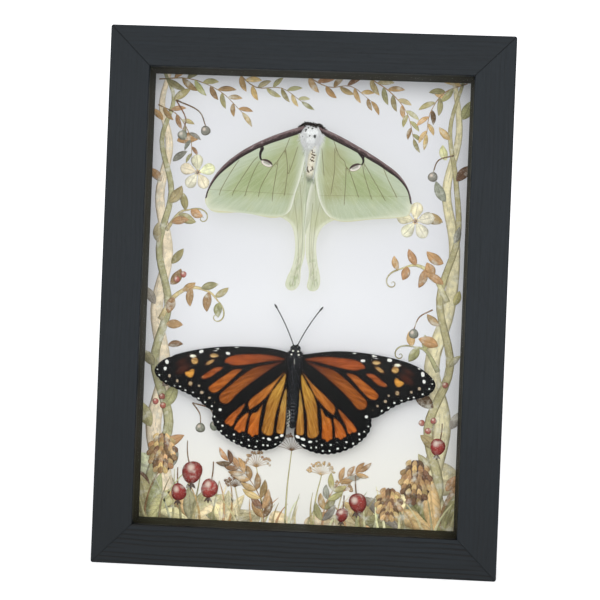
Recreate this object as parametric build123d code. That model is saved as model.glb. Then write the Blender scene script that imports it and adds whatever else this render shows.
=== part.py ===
# Wall display case for two pinned insects: a mitred, rebated wooden frame with glass, a deep liner,
# a printed backdrop on foam board, a back panel held by four turn buttons, and a sawtooth hanger.
# Millimetres. X runs across the case, Y from its front to its back, Z up.
# The origin is the middle of the frame's bottom face, on which the case can stand.

from build123d import *
import math
import os

os.makedirs("parts", exist_ok=True)

# ---------------------------------------------------------------- driving dimensions

# Glass, and what the rebate holds behind it, from front to back
glass_width = 127.0
glass_height = 177.8
glass_thickness = 2.0
liner_depth = 12.0
liner_thickness = 2.6
print_thickness = 0.3
board_thickness = 5.0
panel_thickness = 3.0
rebate_clearance = 0.4  # gap round the edges of the glass, the boards and the panel

# Frame moulding
rail_face = 15.1  # width of a rail, seen from the front
lip_overlap = 3.0  # how far the front lip covers the glass
lip_thickness = 3.0
corner_round = 0.9
outer_arris = 0.6
sight_arris = 0.35

# V-nails across the mitres, driven from the back
v_nail_leg = 4.6
v_nail_thickness = 0.5
v_nail_height = 10.0
v_nail_insets = (2.4, 6.6)  # from the frame's outer edges to each nail's corner

# Turn buttons and their screws
button_from_end = 44.0  # from the top or bottom of the frame to a button's screw
button_pivot_radius = 4.5
button_tip_radius = 3.2
button_reach = 13.5  # from the screw to the centre of the rounded tip
button_thickness = 1.2
button_edge_round = 0.3
button_gap = 0.1  # under and over the plate, so that it turns
button_fit = 0.08  # radial clearance on the screw
screw_radius = 1.25
screw_length = 11.0  # under the head
screw_point = 2.2
screw_head_radius = 3.0
screw_head_height = 1.9
screw_head_round = 1.1
screw_recess_span = 3.2
screw_recess_width = 0.8
screw_recess_depth = 1.0
screw_fit = 0.05

# Sawtooth hanger and its nails
hanger_length = 44.0
hanger_height = 8.0
hanger_thickness = 0.8
hanger_rise = 1.5
hanger_raised_length = 28.0
hanger_ramp = 2.0
tooth_count = 7
tooth_pitch = 3.2
tooth_depth = 1.7
hanger_nail_spacing = 37.0
nail_radius = 0.6
nail_length = 9.0  # under the head
nail_head_radius = 1.5
nail_head_height = 0.5
nail_fit = 0.05

# Insects: the height of their middle plane over the print, and the wings' layers
insect_standoff = 7.0
wing_thickness = 0.3
wing_layer_gap = 0.2  # between a forewing and the hindwing behind it
pin_radius = 0.35
pin_fit = 0.05

# Each insect has a datum on the case's centre line, from which its heights are measured
luna_height = 58.6  # datum above the middle of the case
monarch_height = -21.4

# Bodies as (half width, half depth, half height) and (across, up) from the datum
luna_thorax_size = (4.2, 3.2, 5.0)
luna_thorax_place = (0.6, 3.9)
luna_head_size = (3.5, 1.4, 1.25)
luna_head_place = (0.9, 8.4)
monarch_thorax_size = (2.9, 2.7, 4.5)
monarch_thorax_place = (-2.3, -1.9)
monarch_head_size = (1.9, 1.6, 1.6)
monarch_head_place = (-2.3, 2.9)

# Abdomens as (radius, height) down the body, and the line across on which they lie
luna_abdomen_line = 0.9
luna_abdomen_profile = [(1.9, 1.0), (2.4, -2.0), (2.2, -6.0), (1.5, -10.5), (0.6, -13.0)]
monarch_abdomen_line = -2.4
monarch_abdomen_profile = [(1.6, -4.0), (1.9, -9.0), (1.9, -15.0), (1.6, -21.0), (0.7, -26.5)]

# Antennae: base, middle and tip as (across, up) from the datum
antenna_radius = 0.2
antenna_club_radius = 0.36
antenna_club_length = 2.4
antenna_left = [(-3.0, 4.2), (-6.5, 12.2), (-10.3, 18.9)]
antenna_right = [(-1.6, 4.2), (2.6, 12.2), (7.0, 18.6)]

# Wing outlines as (across, up) from the datum, from the front of the root round to its back
luna_forewing_left = [
    (-1.5, 8.7), (-10.0, 5.8), (-20.0, 1.4), (-30.0, -5.2), (-35.0, -10.5), (-38.5, -17.4),
    (-39.0, -22.5), (-37.2, -24.9), (-28.0, -25.7), (-18.0, -26.6), (-10.0, -26.7), (-6.6, -24.4),
    (-5.0, -19.0), (-3.4, -13.5), (-1.5, -4.0), (-1.0, 0.0),
]
luna_forewing_right = [
    (2.5, 8.6), (10.0, 5.6), (20.0, 0.5), (30.0, -5.5), (35.0, -9.4), (38.4, -14.4), (39.9, -20.5),
    (39.0, -24.2), (36.0, -25.3), (28.0, -26.1), (20.0, -27.1), (14.0, -27.7), (9.0, -26.3),
    (6.0, -22.8), (4.2, -18.5), (2.7, -11.0), (1.8, -4.0), (1.6, 0.0),
]
luna_hindwing_left = [
    (-0.8, -2.0), (-8.0, -2.6), (-16.0, -8.0), (-19.0, -16.0), (-16.5, -22.8), (-11.0, -26.4),
    (-6.2, -29.1), (-4.3, -34.0), (-3.9, -40.0), (-5.0, -46.0), (-6.8, -50.5), (-6.9, -53.4),
    (-4.7, -54.7), (-2.5, -53.4), (-1.5, -50.0), (-1.4, -46.5), (-0.5, -42.5), (-0.2, -34.0),
    (-0.2, -22.0), (-0.4, -12.0),
]
luna_hindwing_right = [
    (2.0, -2.0), (9.0, -2.6), (17.0, -8.0), (20.0, -16.0), (17.5, -22.8), (11.5, -26.8),
    (6.4, -29.8), (4.4, -34.0), (4.2, -39.5), (5.2, -45.5), (6.1, -51.0), (5.2, -53.9),
    (3.4, -54.7), (1.5, -53.8), (1.6, -50.0), (1.6, -46.5), (0.6, -42.5), (0.1, -34.0),
    (0.1, -22.0), (0.5, -12.0),
]
monarch_forewing_left = [
    (-3.0, 0.8), (-8.0, 2.3), (-19.0, 3.2), (-30.0, 2.8), (-42.0, 0.8), (-50.0, -1.7),
    (-54.7, -4.7), (-56.1, -7.2), (-54.3, -10.6), (-47.5, -14.2), (-40.0, -17.5),
    (-33.8, -21.6), (-29.5, -22.5), (-22.0, -18.5), (-14.0, -11.5), (-8.0, -6.0), (-3.5, -3.0),
]
monarch_forewing_right = [
    (-1.6, 0.6), (3.0, 1.4), (12.0, 2.7), (22.0, 2.7), (34.0, 1.2), (43.0, -1.2), (49.5, -5.2),
    (51.6, -8.6), (50.0, -11.8), (43.0, -14.7), (35.0, -18.4), (29.0, -22.0), (25.5, -22.2),
    (18.0, -16.8), (11.0, -10.7), (5.0, -5.6), (-1.2, -3.0),
]
monarch_hindwing_left = [
    (-3.5, -3.2), (-14.0, -6.2), (-25.0, -13.0), (-32.5, -20.5), (-33.2, -25.5), (-29.8, -30.6),
    (-24.0, -34.3), (-15.5, -36.6), (-8.3, -34.9), (-5.3, -31.8), (-4.9, -24.0), (-4.6, -15.0),
    (-3.8, -7.0),
]
monarch_hindwing_right = [
    (-1.2, -3.2), (10.0, -6.2), (20.0, -12.5), (27.2, -20.5), (27.8, -26.0), (24.6, -31.0),
    (18.5, -35.1), (9.5, -36.9), (2.0, -34.6), (-1.1, -31.5), (-0.8, -24.0), (-0.3, -15.0),
    (-0.9, -7.0),
]

# ---------------------------------------------------------------- worked out from them

opening_width = glass_width + 2 * rebate_clearance
opening_height = glass_height + 2 * rebate_clearance
sight_width = opening_width - 2 * lip_overlap
sight_height = opening_height - 2 * lip_overlap
outer_width = sight_width + 2 * rail_face
outer_height = sight_height + 2 * rail_face
rail_back = rail_face - lip_overlap  # width of a rail behind its lip
case_middle = outer_height / 2

glass_depth = lip_thickness  # depths are measured from the front of the frame
liner_front = glass_depth + glass_thickness
print_depth = liner_front + liner_depth
board_depth = print_depth + print_thickness
panel_depth = board_depth + board_thickness
frame_depth = panel_depth + panel_thickness
front_y = -frame_depth / 2
back_y = frame_depth / 2
insect_depth = print_depth - insect_standoff

button_x = opening_width / 2 + rail_back / 2
button_heights = (button_from_end, outer_height - button_from_end)
hanger_z = outer_height - rail_back / 2


# ---------------------------------------------------------------- helpers

def slab(outline, depth, thickness):
    """An outline in X and Z made solid, its front face at a depth behind the frame's front."""
    plane = Plane.XZ.offset(-(front_y + depth))
    return extrude(plane * outline, amount=-thickness)


def at_middle(outline):
    """Lift an outline drawn about zero to the middle of the case."""
    return Pos(0, case_middle) * outline


def on_back(x, z, shape):
    """Place a shape drawn with its axis along +Z on the frame's back face, pointing backwards."""
    return Plane(origin=(x, back_y, z), x_dir=(1, 0, 0), z_dir=(0, 1, 0)) * shape


def drilled(radius, length):
    """A straight hole from the back face into the wood, drawn with its mouth at zero."""
    return Pos(0, 0, -length / 2) * Cylinder(radius, length)


def save(node, shape):
    shape.label = node
    export_step(shape, f"parts/{node}.step")


# ---------------------------------------------------------------- frame

def frame_ring():
    """The whole frame as one ring, with eased edges and the rebate cut behind its lip."""
    block = slab(at_middle(RectangleRounded(outer_width, outer_height, corner_round)), 0, frame_depth)
    block = fillet(block.faces().sort_by(Axis.Y)[0].edges(), outer_arris)
    ring = block - slab(at_middle(Rectangle(sight_width, sight_height)), 0, frame_depth)
    front = ring.faces().sort_by(Axis.Y)[0]
    ring = fillet(front.inner_wires()[0].edges(), sight_arris)
    rebate = Rectangle(opening_width, opening_height)
    return ring - slab(at_middle(rebate), lip_thickness, frame_depth - lip_thickness)


def mitre_zone(side):
    """The part of the frame's plane that belongs to one rail, bounded by the two mitres."""
    half = outer_width / 2
    corners = {
        "bottom": [(-half, 0), (half, 0), (0, half)],
        "top": [(-half, outer_height), (0, outer_height - half), (half, outer_height)],
        "left": [(-half, 0), (0, half), (0, outer_height - half), (-half, outer_height)],
        "right": [(half, 0), (half, outer_height), (0, outer_height - half), (0, half)],
    }
    return slab(make_face(Polyline(*corners[side], close=True)), 0, frame_depth)


def v_nails():
    """Two V-shaped nails across each mitre, their tops flush with the frame's back."""
    nails = []
    for side in (-1, 1):
        for end in (-1, 1):
            for inset in v_nail_insets:
                corner = (side * (outer_width / 2 - inset), case_middle + end * (outer_height / 2 - inset))
                along = Rectangle(v_nail_leg, v_nail_thickness, align=(Align.MIN, Align.MIN))
                up = Rectangle(v_nail_thickness, v_nail_leg, align=(Align.MIN, Align.MIN))
                outline = along + up
                if side > 0:
                    outline = mirror(outline, about=Plane.YZ)
                if end > 0:
                    outline = mirror(outline, about=Plane.XZ)
                nails.append(slab(Pos(*corner) * outline, frame_depth - v_nail_height, v_nail_height))
    return nails


def frame_rails(nails):
    """The four rails: the ring cut along its mitres, with room for nails, screws and hanger nails."""
    ring = frame_ring()
    for nail in nails:
        ring -= nail
    for x, z in button_places():
        ring -= on_back(x, z, drilled(screw_radius + screw_fit, screw_length))
    for x in hanger_nail_places():
        ring -= on_back(x, hanger_z, drilled(nail_radius + nail_fit, nail_length))
    return {side: ring & mitre_zone(side) for side in ("top", "bottom", "left", "right")}


# ---------------------------------------------------------------- what the rebate holds

def rebate_sheet(depth, thickness):
    return slab(at_middle(Rectangle(glass_width, glass_height)), depth, thickness)


def liner_strips():
    """Four strips round the walls of the rebate, which keep the print away from the glass."""
    inner_height = opening_height - 2 * liner_thickness
    across = Rectangle(opening_width, liner_thickness)
    upright = Rectangle(liner_thickness, inner_height)
    reach_x = (opening_width - liner_thickness) / 2
    reach_z = (opening_height - liner_thickness) / 2
    outlines = {
        "top": Pos(0, reach_z) * across,
        "bottom": Pos(0, -reach_z) * across,
        "left": Pos(-reach_x, 0) * upright,
        "right": Pos(reach_x, 0) * upright,
    }
    return {side: slab(at_middle(outline), liner_front, liner_depth) for side, outline in outlines.items()}


# ---------------------------------------------------------------- fittings on the back

def button_places():
    return [(x, z) for x in (-button_x, button_x) for z in button_heights]


def hanger_nail_places():
    return (-hanger_nail_spacing / 2, hanger_nail_spacing / 2)


def turn_button():
    """A stamped plate, tapered between its round ends, with its screw hole at zero."""
    lean = math.asin((button_pivot_radius - button_tip_radius) / button_reach)
    sides = []
    for sign in (1, -1):
        root = (button_pivot_radius * math.sin(lean), sign * button_pivot_radius * math.cos(lean))
        tip = (button_reach + button_tip_radius * math.sin(lean), sign * button_tip_radius * math.cos(lean))
        sides.append((root, tip))
    web = make_face(Polyline(sides[0][0], sides[0][1], sides[1][1], sides[1][0], close=True))
    outline = Circle(button_pivot_radius) + web + Pos(button_reach, 0) * Circle(button_tip_radius)
    plate = extrude(outline, amount=button_thickness)
    plate = fillet(plate.faces().sort_by(Axis.Z)[-1].edges(), button_edge_round)
    plate -= Cylinder(screw_radius + button_fit, 3 * button_thickness)
    return Pos(0, 0, button_gap) * plate


def button_screw():
    """A pan-head wood screw with a cross recess, drawn with the frame's back at zero."""
    seat = button_thickness + 2 * button_gap
    shank_length = screw_length - screw_point
    shank = Pos(0, 0, seat - shank_length / 2) * Cylinder(screw_radius, shank_length)
    point_at = seat - shank_length - screw_point / 2
    point = Pos(0, 0, point_at) * Cone(screw_radius / 8, screw_radius, screw_point)
    head = Pos(0, 0, seat + screw_head_height / 2) * Cylinder(screw_head_radius, screw_head_height)
    head = fillet(head.edges().sort_by(Axis.Z)[-1], screw_head_round)
    recess = Box(screw_recess_span, screw_recess_width, screw_recess_depth)
    recess += Box(screw_recess_width, screw_recess_span, screw_recess_depth)
    return head + shank + point - Pos(0, 0, seat + screw_head_height - screw_recess_depth / 2) * recess


def hanger():
    """A strip raised off the frame between its two nailed ends, with teeth along its lower edge."""
    raised = hanger_raised_length / 2
    foot = raised + hanger_ramp
    end = hanger_length / 2
    line = [(-end, 0), (-foot, 0), (-raised, hanger_rise), (raised, hanger_rise), (foot, 0), (end, 0)]
    over = [(x, y + hanger_thickness) for x, y in reversed(line)]
    side_view = Pos(0, back_y) * make_face(Polyline(*line, *over, close=True))
    strip = Pos(0, 0, hanger_z - hanger_height / 2) * extrude(side_view, amount=hanger_height)
    for x in hanger_nail_places():
        hole = Cylinder(nail_radius + nail_fit, 3 * hanger_thickness)
        strip -= on_back(x, hanger_z, hole)
    low = hanger_z - hanger_height / 2
    for tooth in range(tooth_count):
        x = (tooth - (tooth_count - 1) / 2) * tooth_pitch
        width = tooth_pitch / 2
        notch = make_face(Polyline((x - width, low), (x, low + tooth_depth), (x + width, low), close=True))
        strip -= slab(notch, frame_depth, hanger_rise + 2 * hanger_thickness)
    return strip


def hanger_nail():
    """A short nail, its head on the hanger, drawn with the frame's back at zero."""
    head = Pos(0, 0, hanger_thickness + nail_head_height / 2) * Cylinder(nail_head_radius, nail_head_height)
    shank_length = nail_length + hanger_thickness
    return head + Pos(0, 0, hanger_thickness - shank_length / 2) * Cylinder(nail_radius, shank_length)


# ---------------------------------------------------------------- insects

def wing(outline, height, layer):
    """A flat wing in the front (-1) or back (1) layer, closed across its root."""
    points = [(x, case_middle + height + z) for x, z in outline]
    edge = Spline(*points) + Line(points[-1], points[0])
    front = insect_depth + (wing_layer_gap / 2 if layer > 0 else -wing_layer_gap / 2 - wing_thickness)
    return slab(make_face(edge), front, wing_thickness)


def rounded_body(size, place, height):
    """An egg-shaped head or thorax in the insects' plane."""
    centre = (place[0], front_y + insect_depth, case_middle + height + place[1])
    return Pos(*centre) * scale(Sphere(1), by=size)


def abdomen(profile, line, height):
    """A tapered body turned about an upright line, rounded at its tail."""
    points = [(radius, z) for radius, z in profile]
    tail = (0, points[-1][1] - points[-1][0])
    top = (0, points[0][1])
    edge = Spline(*points, tail) + Line(tail, top) + Line(top, points[0])
    turned = revolve(Plane.XZ * make_face(edge), Axis.Z)
    return Pos(line, front_y + insect_depth, case_middle + height) * turned


def antenna(route, height):
    """A thin curved stalk with a club at its tip."""
    points = [(x, case_middle + height + z) for x, z in route]
    plane = Plane.XZ.offset(-(front_y + insect_depth))
    stalk_line = plane * ThreePointArc(*points)
    stalk = sweep(Plane(stalk_line @ 0, z_dir=stalk_line % 0) * Circle(antenna_radius), path=stalk_line)
    club = scale(Sphere(1), by=(antenna_club_radius, antenna_club_radius, antenna_club_length / 2))
    return stalk + Plane(stalk_line @ 1, z_dir=stalk_line % 1) * club


def pin_at(place, height, radius):
    """A headless pin from the middle of a thorax to the back of the foam board."""
    length = panel_depth - insect_depth
    start = (place[0], front_y + insect_depth, case_middle + height + place[1])
    return Plane(origin=start, x_dir=(1, 0, 0), z_dir=(0, 1, 0)) * (
        Pos(0, 0, length / 2) * Cylinder(radius, length))


def cut_by(shape, *others):
    for other in others:
        shape = shape - other
    return shape


def luna_moth():
    """The upper insect: head, thorax, abdomen and four wings, cut so that they meet but don't overlap."""
    thorax = rounded_body(luna_thorax_size, luna_thorax_place, luna_height)
    head = cut_by(rounded_body(luna_head_size, luna_head_place, luna_height), thorax)
    tail = cut_by(abdomen(luna_abdomen_profile, luna_abdomen_line, luna_height), thorax)
    outlines = {
        "luna_forewing_left": (luna_forewing_left, -1),
        "luna_forewing_right": (luna_forewing_right, -1),
        "luna_hindwing_left": (luna_hindwing_left, 1),
        "luna_hindwing_right": (luna_hindwing_right, 1),
    }
    pieces = {"luna_thorax": thorax, "luna_head": head, "luna_abdomen": tail}
    for node, (outline, layer) in outlines.items():
        pieces[node] = cut_by(wing(outline, luna_height, layer), thorax, head, tail)
    return pieces


def monarch():
    """The lower insect, made the same way, with its two antennae."""
    thorax = rounded_body(monarch_thorax_size, monarch_thorax_place, monarch_height)
    head = cut_by(rounded_body(monarch_head_size, monarch_head_place, monarch_height), thorax)
    tail = cut_by(abdomen(monarch_abdomen_profile, monarch_abdomen_line, monarch_height), thorax)
    outlines = {
        "monarch_forewing_left": (monarch_forewing_left, -1),
        "monarch_forewing_right": (monarch_forewing_right, -1),
        "monarch_hindwing_left": (monarch_hindwing_left, 1),
        "monarch_hindwing_right": (monarch_hindwing_right, 1),
    }
    pieces = {"monarch_thorax": thorax, "monarch_head": head, "monarch_abdomen": tail}
    for node, (outline, layer) in outlines.items():
        pieces[node] = cut_by(wing(outline, monarch_height, layer), thorax, head, tail)
    for node, route in (("monarch_antenna_left", antenna_left), ("monarch_antenna_right", antenna_right)):
        pieces[node] = cut_by(antenna(route, monarch_height), head)
    return pieces


# ---------------------------------------------------------------- the case, node by node

nails = v_nails()
for side, rail in frame_rails(nails).items():
    save(f"frame_rail_{side}", rail)
save("corner_v_nails", Compound(children=nails))
save("glass_pane", rebate_sheet(glass_depth, glass_thickness))
for side, strip in liner_strips().items():
    save(f"liner_{side}", strip)

pin_places = {
    "luna": (luna_thorax_place, luna_height),
    "monarch": (monarch_thorax_place, monarch_height),
}
pins = {name: pin_at(place, height, pin_radius) for name, (place, height) in pin_places.items()}
pin_holes = {name: pin_at(place, height, pin_radius + pin_fit) for name, (place, height) in pin_places.items()}
for name, pin in pins.items():
    save(f"{name}_pin", pin)
save("backdrop_print", cut_by(rebate_sheet(print_depth, print_thickness), *pin_holes.values()))
save("foam_board", cut_by(rebate_sheet(board_depth, board_thickness), *pin_holes.values()))
save("back_panel", rebate_sheet(panel_depth, panel_thickness))

for node, piece in {**luna_moth(), **monarch()}.items():
    save(node, cut_by(piece, *pin_holes.values()) if node.endswith("thorax") else piece)

button_names = ("left_lower", "left_upper", "right_lower", "right_upper")
screws = []
for name, (x, z) in zip(button_names, button_places()):
    inwards = 0 if x < 0 else 180
    save(f"turn_button_{name}", on_back(x, z, Rot(0, 0, inwards) * turn_button()))
    screws.append(on_back(x, z, button_screw()))
save("turn_button_screws", Compound(children=screws))
save("sawtooth_hanger", hanger())
save("hanger_nails", Compound(children=[on_back(x, hanger_z, hanger_nail()) for x in hanger_nail_places()]))

print(f"frame {outer_width:.1f} x {outer_height:.1f} x {frame_depth:.1f} mm")
print(f"sight opening {sight_width:.1f} x {sight_height:.1f} mm")
print(f"front of frame to print {print_depth:.1f} mm")
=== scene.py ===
import math
import random

import bmesh
import bpy
import numpy as np
from mathutils import Matrix, Vector


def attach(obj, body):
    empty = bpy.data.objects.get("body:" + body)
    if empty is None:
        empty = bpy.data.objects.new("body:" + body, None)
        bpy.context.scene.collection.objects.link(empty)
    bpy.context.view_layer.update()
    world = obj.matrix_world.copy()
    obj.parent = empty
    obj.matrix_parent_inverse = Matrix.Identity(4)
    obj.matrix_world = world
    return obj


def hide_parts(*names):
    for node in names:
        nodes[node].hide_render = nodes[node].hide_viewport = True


mm = 0.001
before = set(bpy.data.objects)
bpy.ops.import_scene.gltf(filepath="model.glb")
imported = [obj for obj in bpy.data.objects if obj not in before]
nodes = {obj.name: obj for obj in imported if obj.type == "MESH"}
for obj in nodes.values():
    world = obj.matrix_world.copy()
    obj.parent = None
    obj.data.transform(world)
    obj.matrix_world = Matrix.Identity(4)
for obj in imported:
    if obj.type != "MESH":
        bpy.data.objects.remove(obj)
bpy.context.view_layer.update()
print("frame loaded:", len(nodes), "nodes")


def tone(red, green, blue):  # a colour as a screen shows it, made linear for the shader
    parts = [v / 255 for v in (red, green, blue)]
    return tuple(v / 12.92 if v < 0.04045 else ((v + 0.055) / 1.055) ** 2.4 for v in parts) + (1.0,)


class Signal:  # a socket that takes part in Python sums
    def __init__(self, finish, socket):
        self.finish, self.socket = finish, socket

    def maths(self, operation, *others):
        return self.finish.node("Math", {"operation": operation}, (self, *others))

    def __add__(self, other):
        return self.maths("ADD", other)

    def __sub__(self, other):
        return self.maths("SUBTRACT", other)

    def __rsub__(self, other):
        return self.finish.node("Math", {"operation": "SUBTRACT"}, (other, self))

    def __mul__(self, other):
        return self.maths("MULTIPLY", other)

    def __abs__(self):
        return self.maths("ABSOLUTE")

    __radd__, __rmul__ = __add__, __mul__

    def least(self, other):
        return self.maths("MINIMUM", other)

    def most(self, other):
        return self.maths("MAXIMUM", other)

    def sine(self):
        return self.maths("SINE")

    def rise(self, low, high):  # 0 at low, 1 at high, smooth between
        ends = {"Value": self, "From Min": low, "From Max": high}
        return self.finish.node("MapRange", {"interpolation_type": "SMOOTHSTEP"}, ends)


class Finish:  # one material and its nodes
    def __init__(self, name):
        self.material = bpy.data.materials.new(name)
        self.material.use_nodes = True
        self.tree = self.material.node_tree
        self.tree.nodes.clear()
        self.place = self.node("TexCoord", output="Object")

    def node(self, kind, settings=None, inputs=(), output=0):
        made = self.tree.nodes.new("ShaderNode" + kind)
        for key, value in (settings or {}).items():
            if key == "stops":
                self.setStops(made.color_ramp, value)
            else:
                setattr(made, key, value)
        pairs = inputs.items() if isinstance(inputs, dict) else enumerate(inputs)
        for key, value in pairs:
            if isinstance(value, Signal):
                self.tree.links.new(value.socket, made.inputs[key])
            else:
                made.inputs[key].default_value = value
        return Signal(self, made.outputs[output])

    def setStops(self, ramp, stops):
        while len(ramp.elements) < len(stops):
            ramp.elements.new(0.5)
        for element, (position, colour) in zip(ramp.elements, stops):
            element.position, element.color = position, colour

    def axes(self, source=None):  # X, Y and Z in millimetres
        scaled = self.node("VectorMath", {"operation": "SCALE"}, {0: source or self.place, "Scale": 1 / mm})
        return [self.node("SeparateXYZ", {}, (scaled,), output=i) for i in range(3)]

    def joined(self, *parts):
        return self.node("CombineXYZ", {}, parts)

    def noise(self, vector, scale, detail=3, roughness=0.55, distortion=0):
        values = {"Vector": vector, "Scale": scale, "Detail": detail, "Roughness": roughness, "Distortion": distortion}
        return self.node("TexNoise", {}, values)

    def attribute(self, name, output="Fac"):
        return self.node("Attribute", {"attribute_name": name}, output=output)

    def mix(self, factor, first, second, blend="MIX"):
        return self.node("Mix", {"data_type": "RGBA", "blend_type": blend}, {0: factor, 6: first, 7: second}, output=2)

    def times(self, colour, shade):  # a colour multiplied by its red, green and blue factors
        return self.mix(1.0, colour, (*shade, 1), "MULTIPLY")

    def length(self, *parts):  # the length of a vector
        return self.node("VectorMath", {"operation": "LENGTH"}, (self.joined(*parts),), output=1)

    def mapped(self, name):  # both numbers of a UV map
        place = self.node("UVMap", {"uv_map": name})
        return [self.node("SeparateXYZ", {}, (place,), output=i) for i in range(2)]

    def drawn(self, parts, pulls, detail=3, roughness=0.55):  # noise pulled out along each of its parts
        return self.noise(self.joined(*[part * pull for part, pull in zip(parts, pulls)]), 1.0, detail, roughness)

    def ramp(self, factor, stops):
        return self.node("ValToRGB", {"stops": stops}, (factor,))

    def bump(self, height, strength, depth):  # depth in millimetres
        return self.node("Bump", {}, {"Strength": strength, "Distance": depth * mm, "Height": height})

    def close(self, surface):
        last = self.tree.nodes.new("ShaderNodeOutputMaterial")
        self.tree.links.new(surface.socket, last.inputs["Surface"])
        return self.material

    def coat(self, values):  # the last step: a principled surface
        return self.close(self.node("BsdfPrincipled", {}, values))

    def matt(self, colour, grain, rough, spread, strength, depth, shine=0.15, height=None):  # follows its grain
        return self.coat({"Base Color": colour, "Roughness": (grain - 0.5) * spread + rough,
                          "Specular IOR Level": shine, "Normal": self.bump(height or grain, strength, depth)})


def dress(nodeNames, material):  # a CAD node keeps its shape and gets a finish
    for name in nodeNames:
        nodes[name].data.materials.clear()
        nodes[name].data.materials.append(material)


def finished(name, made, material, slot, replaced=(), smooth=35):  # a bmesh becomes a piece of the case
    mesh = bpy.data.meshes.new(name)
    made.to_mesh(mesh)
    made.free()
    return place(name, mesh, material, slot, replaced, smooth)


def place(name, mesh, material, slot, replaced=(), smooth=35):
    for polygon in mesh.polygons:
        polygon.use_smooth = True
    mesh.set_sharp_from_angle(angle=math.radians(smooth))
    mesh.materials.append(material)
    piece = bpy.data.objects.new(name, mesh)
    bpy.context.scene.collection.objects.link(piece)
    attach(piece, "case")
    if replaced:
        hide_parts(*replaced)
    return piece


caseSizes = {"halfWidth": 76.0, "halfHeight": 101.4, "middle": 101.4, "printFace": 4.35}

rails = {
    "deep": tone(6, 9, 11), "face": tone(17, 24, 29), "raised": tone(30, 38, 45),
    "fibres": 2.1, "stretch": 0.022, "seam": 0.22, "ringPitch": 1.75, "paintedLowShade": 0.13,
    "sides": {  # lying along X or not, strength of the fibres, of the year rings, and how light it is: a painted light and shade level for how that side is lit
        "top": (True, 0.28, 0.10, 0.48), "bottom": (True, 0.34, 0.62, 0.38),
        "left": (False, 0.17, 0.06, 0.50), "right": (False, 0.2, 0.08, 0.54),
    },
}


def stainedRail(name, lying, strength, ringStrength, light):  # grain runs along the rail; light is the side's painted light and shade level
    wood = Finish(name)
    x, y, z = wood.axes()
    along, across = (x, z) if lying else (z, x)
    wander = wood.drawn((along, across, y), (0.022, 0.05, 0.05), 2) * 3.4
    fibre = wood.joined(along * rails["stretch"] * 2, across * rails["fibres"] + wander, y * rails["fibres"])
    fine = wood.noise(fibre, 1.0, 5, 0.7)
    pores = wood.noise(wood.joined(along * 0.12, across * 5.2 + wander, y * 5.2), 1.0, 3, 0.6)
    shortMarks = wood.drawn((along, across, y), (0.3, 3.4, 3.4), 2, 0.6).rise(0.6, 0.72)
    fade = wood.noise(wood.joined(along * 0.02, across * 0.25, 0.0), 1.0, 2).rise(0.3, 0.6)
    rings = ((across + wander * 0.9 + (fine - 0.5) * 0.5) * (2 * math.pi / rails["ringPitch"])).sine()
    grooves = rings.rise(0.1, 0.95) * fade
    cloud = wood.noise(wood.place, 28, 2)
    level = (fine - 0.5) * strength * 1.6 + (0.3 - grooves) * ringStrength + (cloud - 0.5) * 0.16
    # painted shade: the rails grow darker towards the bottom, and light adds the side's painted light level
    level = level - z.rise(80, 0) * rails["paintedLowShade"] + light
    colour = wood.ramp((level - shortMarks * strength * 0.5).rise(0.0, 1.0),
                       [(0.0, rails["deep"]), (0.5, rails["face"]), (1.0, rails["raised"])])
    fromSide = caseSizes["halfWidth"] - abs(x)
    fromEnd = caseSizes["halfHeight"] - abs(z - caseSizes["middle"])
    seam = 1 - abs(fromSide - fromEnd).rise(rails["seam"] * 0.3, rails["seam"] * 1.5)
    rim = 1 - fromSide.least(fromEnd).rise(0.05, 0.7)  # lighter along the outer edge
    colour = wood.mix(rim * 0.3, colour, rails["raised"])
    colour = wood.mix(seam * (z.rise(10, 190) * 0.5 + 0.4), colour, rails["deep"])
    height = fine * strength * 0.8 - grooves * ringStrength * 1.3 + pores * 0.25 - shortMarks * 0.25 - seam * 1.6
    return wood.matt(colour, pores, rough=0.6, spread=0.22, strength=0.6, depth=0.16, shine=0.22, height=height)


for side, settings in rails["sides"].items():
    dress([f"frame_rail_{side}"], stainedRail(f"stainedRail_{side}", *settings))

liner = Finish("linerStrip")
linerGrain = liner.drawn(liner.axes(), (0.5, 3.0, 0.5), 4, 0.65)
linerColour = liner.ramp(linerGrain, [(0.25, tone(29, 29, 22)), (0.75, tone(54, 53, 43))])
dress([f"liner_{side}" for side in ("top", "bottom", "left", "right")],
      liner.matt(linerColour, linerGrain, rough=0.745, spread=0.25, strength=0.15, depth=0.02))

glass = Finish("clearGlass")
smear = glass.noise(glass.place, 60, 2)
seeThrough = glass.node("BsdfTransparent", {}, {"Color": (0.985, 0.992, 0.988, 1)})
shine = glass.node("BsdfGlossy", {}, {"Roughness": 0.13 + (smear - 0.5) * 0.03})
outer = 1 - glass.node("NewGeometry", output="Backfacing")  # light inside the pane isn't thrown back
facing = glass.node("Fresnel", {}, {"IOR": 1.12}) * outer
glass.close(glass.node("MixShader", {}, {0: facing, 1: seeThrough, 2: shine}))
dress(["glass_pane"], glass.material)

paper = Finish("printedPaper")
tooth = paper.noise(paper.place, 3200, 4, 0.6)
wash = paper.noise(paper.place, 14, 2)
paperUp = paper.axes()[2]
paperColour = paper.mix((wash - 0.3) * 0.6, tone(230, 229, 233), tone(223, 223, 228))
# painted shade: the upper part of the sheet darker
paperColour = paper.mix(paperUp.rise(95, 135) * paperUp.rise(182, 168) * 0.9, paperColour, tone(221, 220, 225))
paperColour = paper.mix(paperUp.rise(75, 30) * 0.8, paperColour, tone(239, 235, 226))  # painted light: lighter and warmer towards the ground
dress(["backdrop_print"],
      paper.matt(paperColour, tooth, rough=0.84, spread=0.12, strength=0.25, depth=0.03, shine=0.5))

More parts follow.
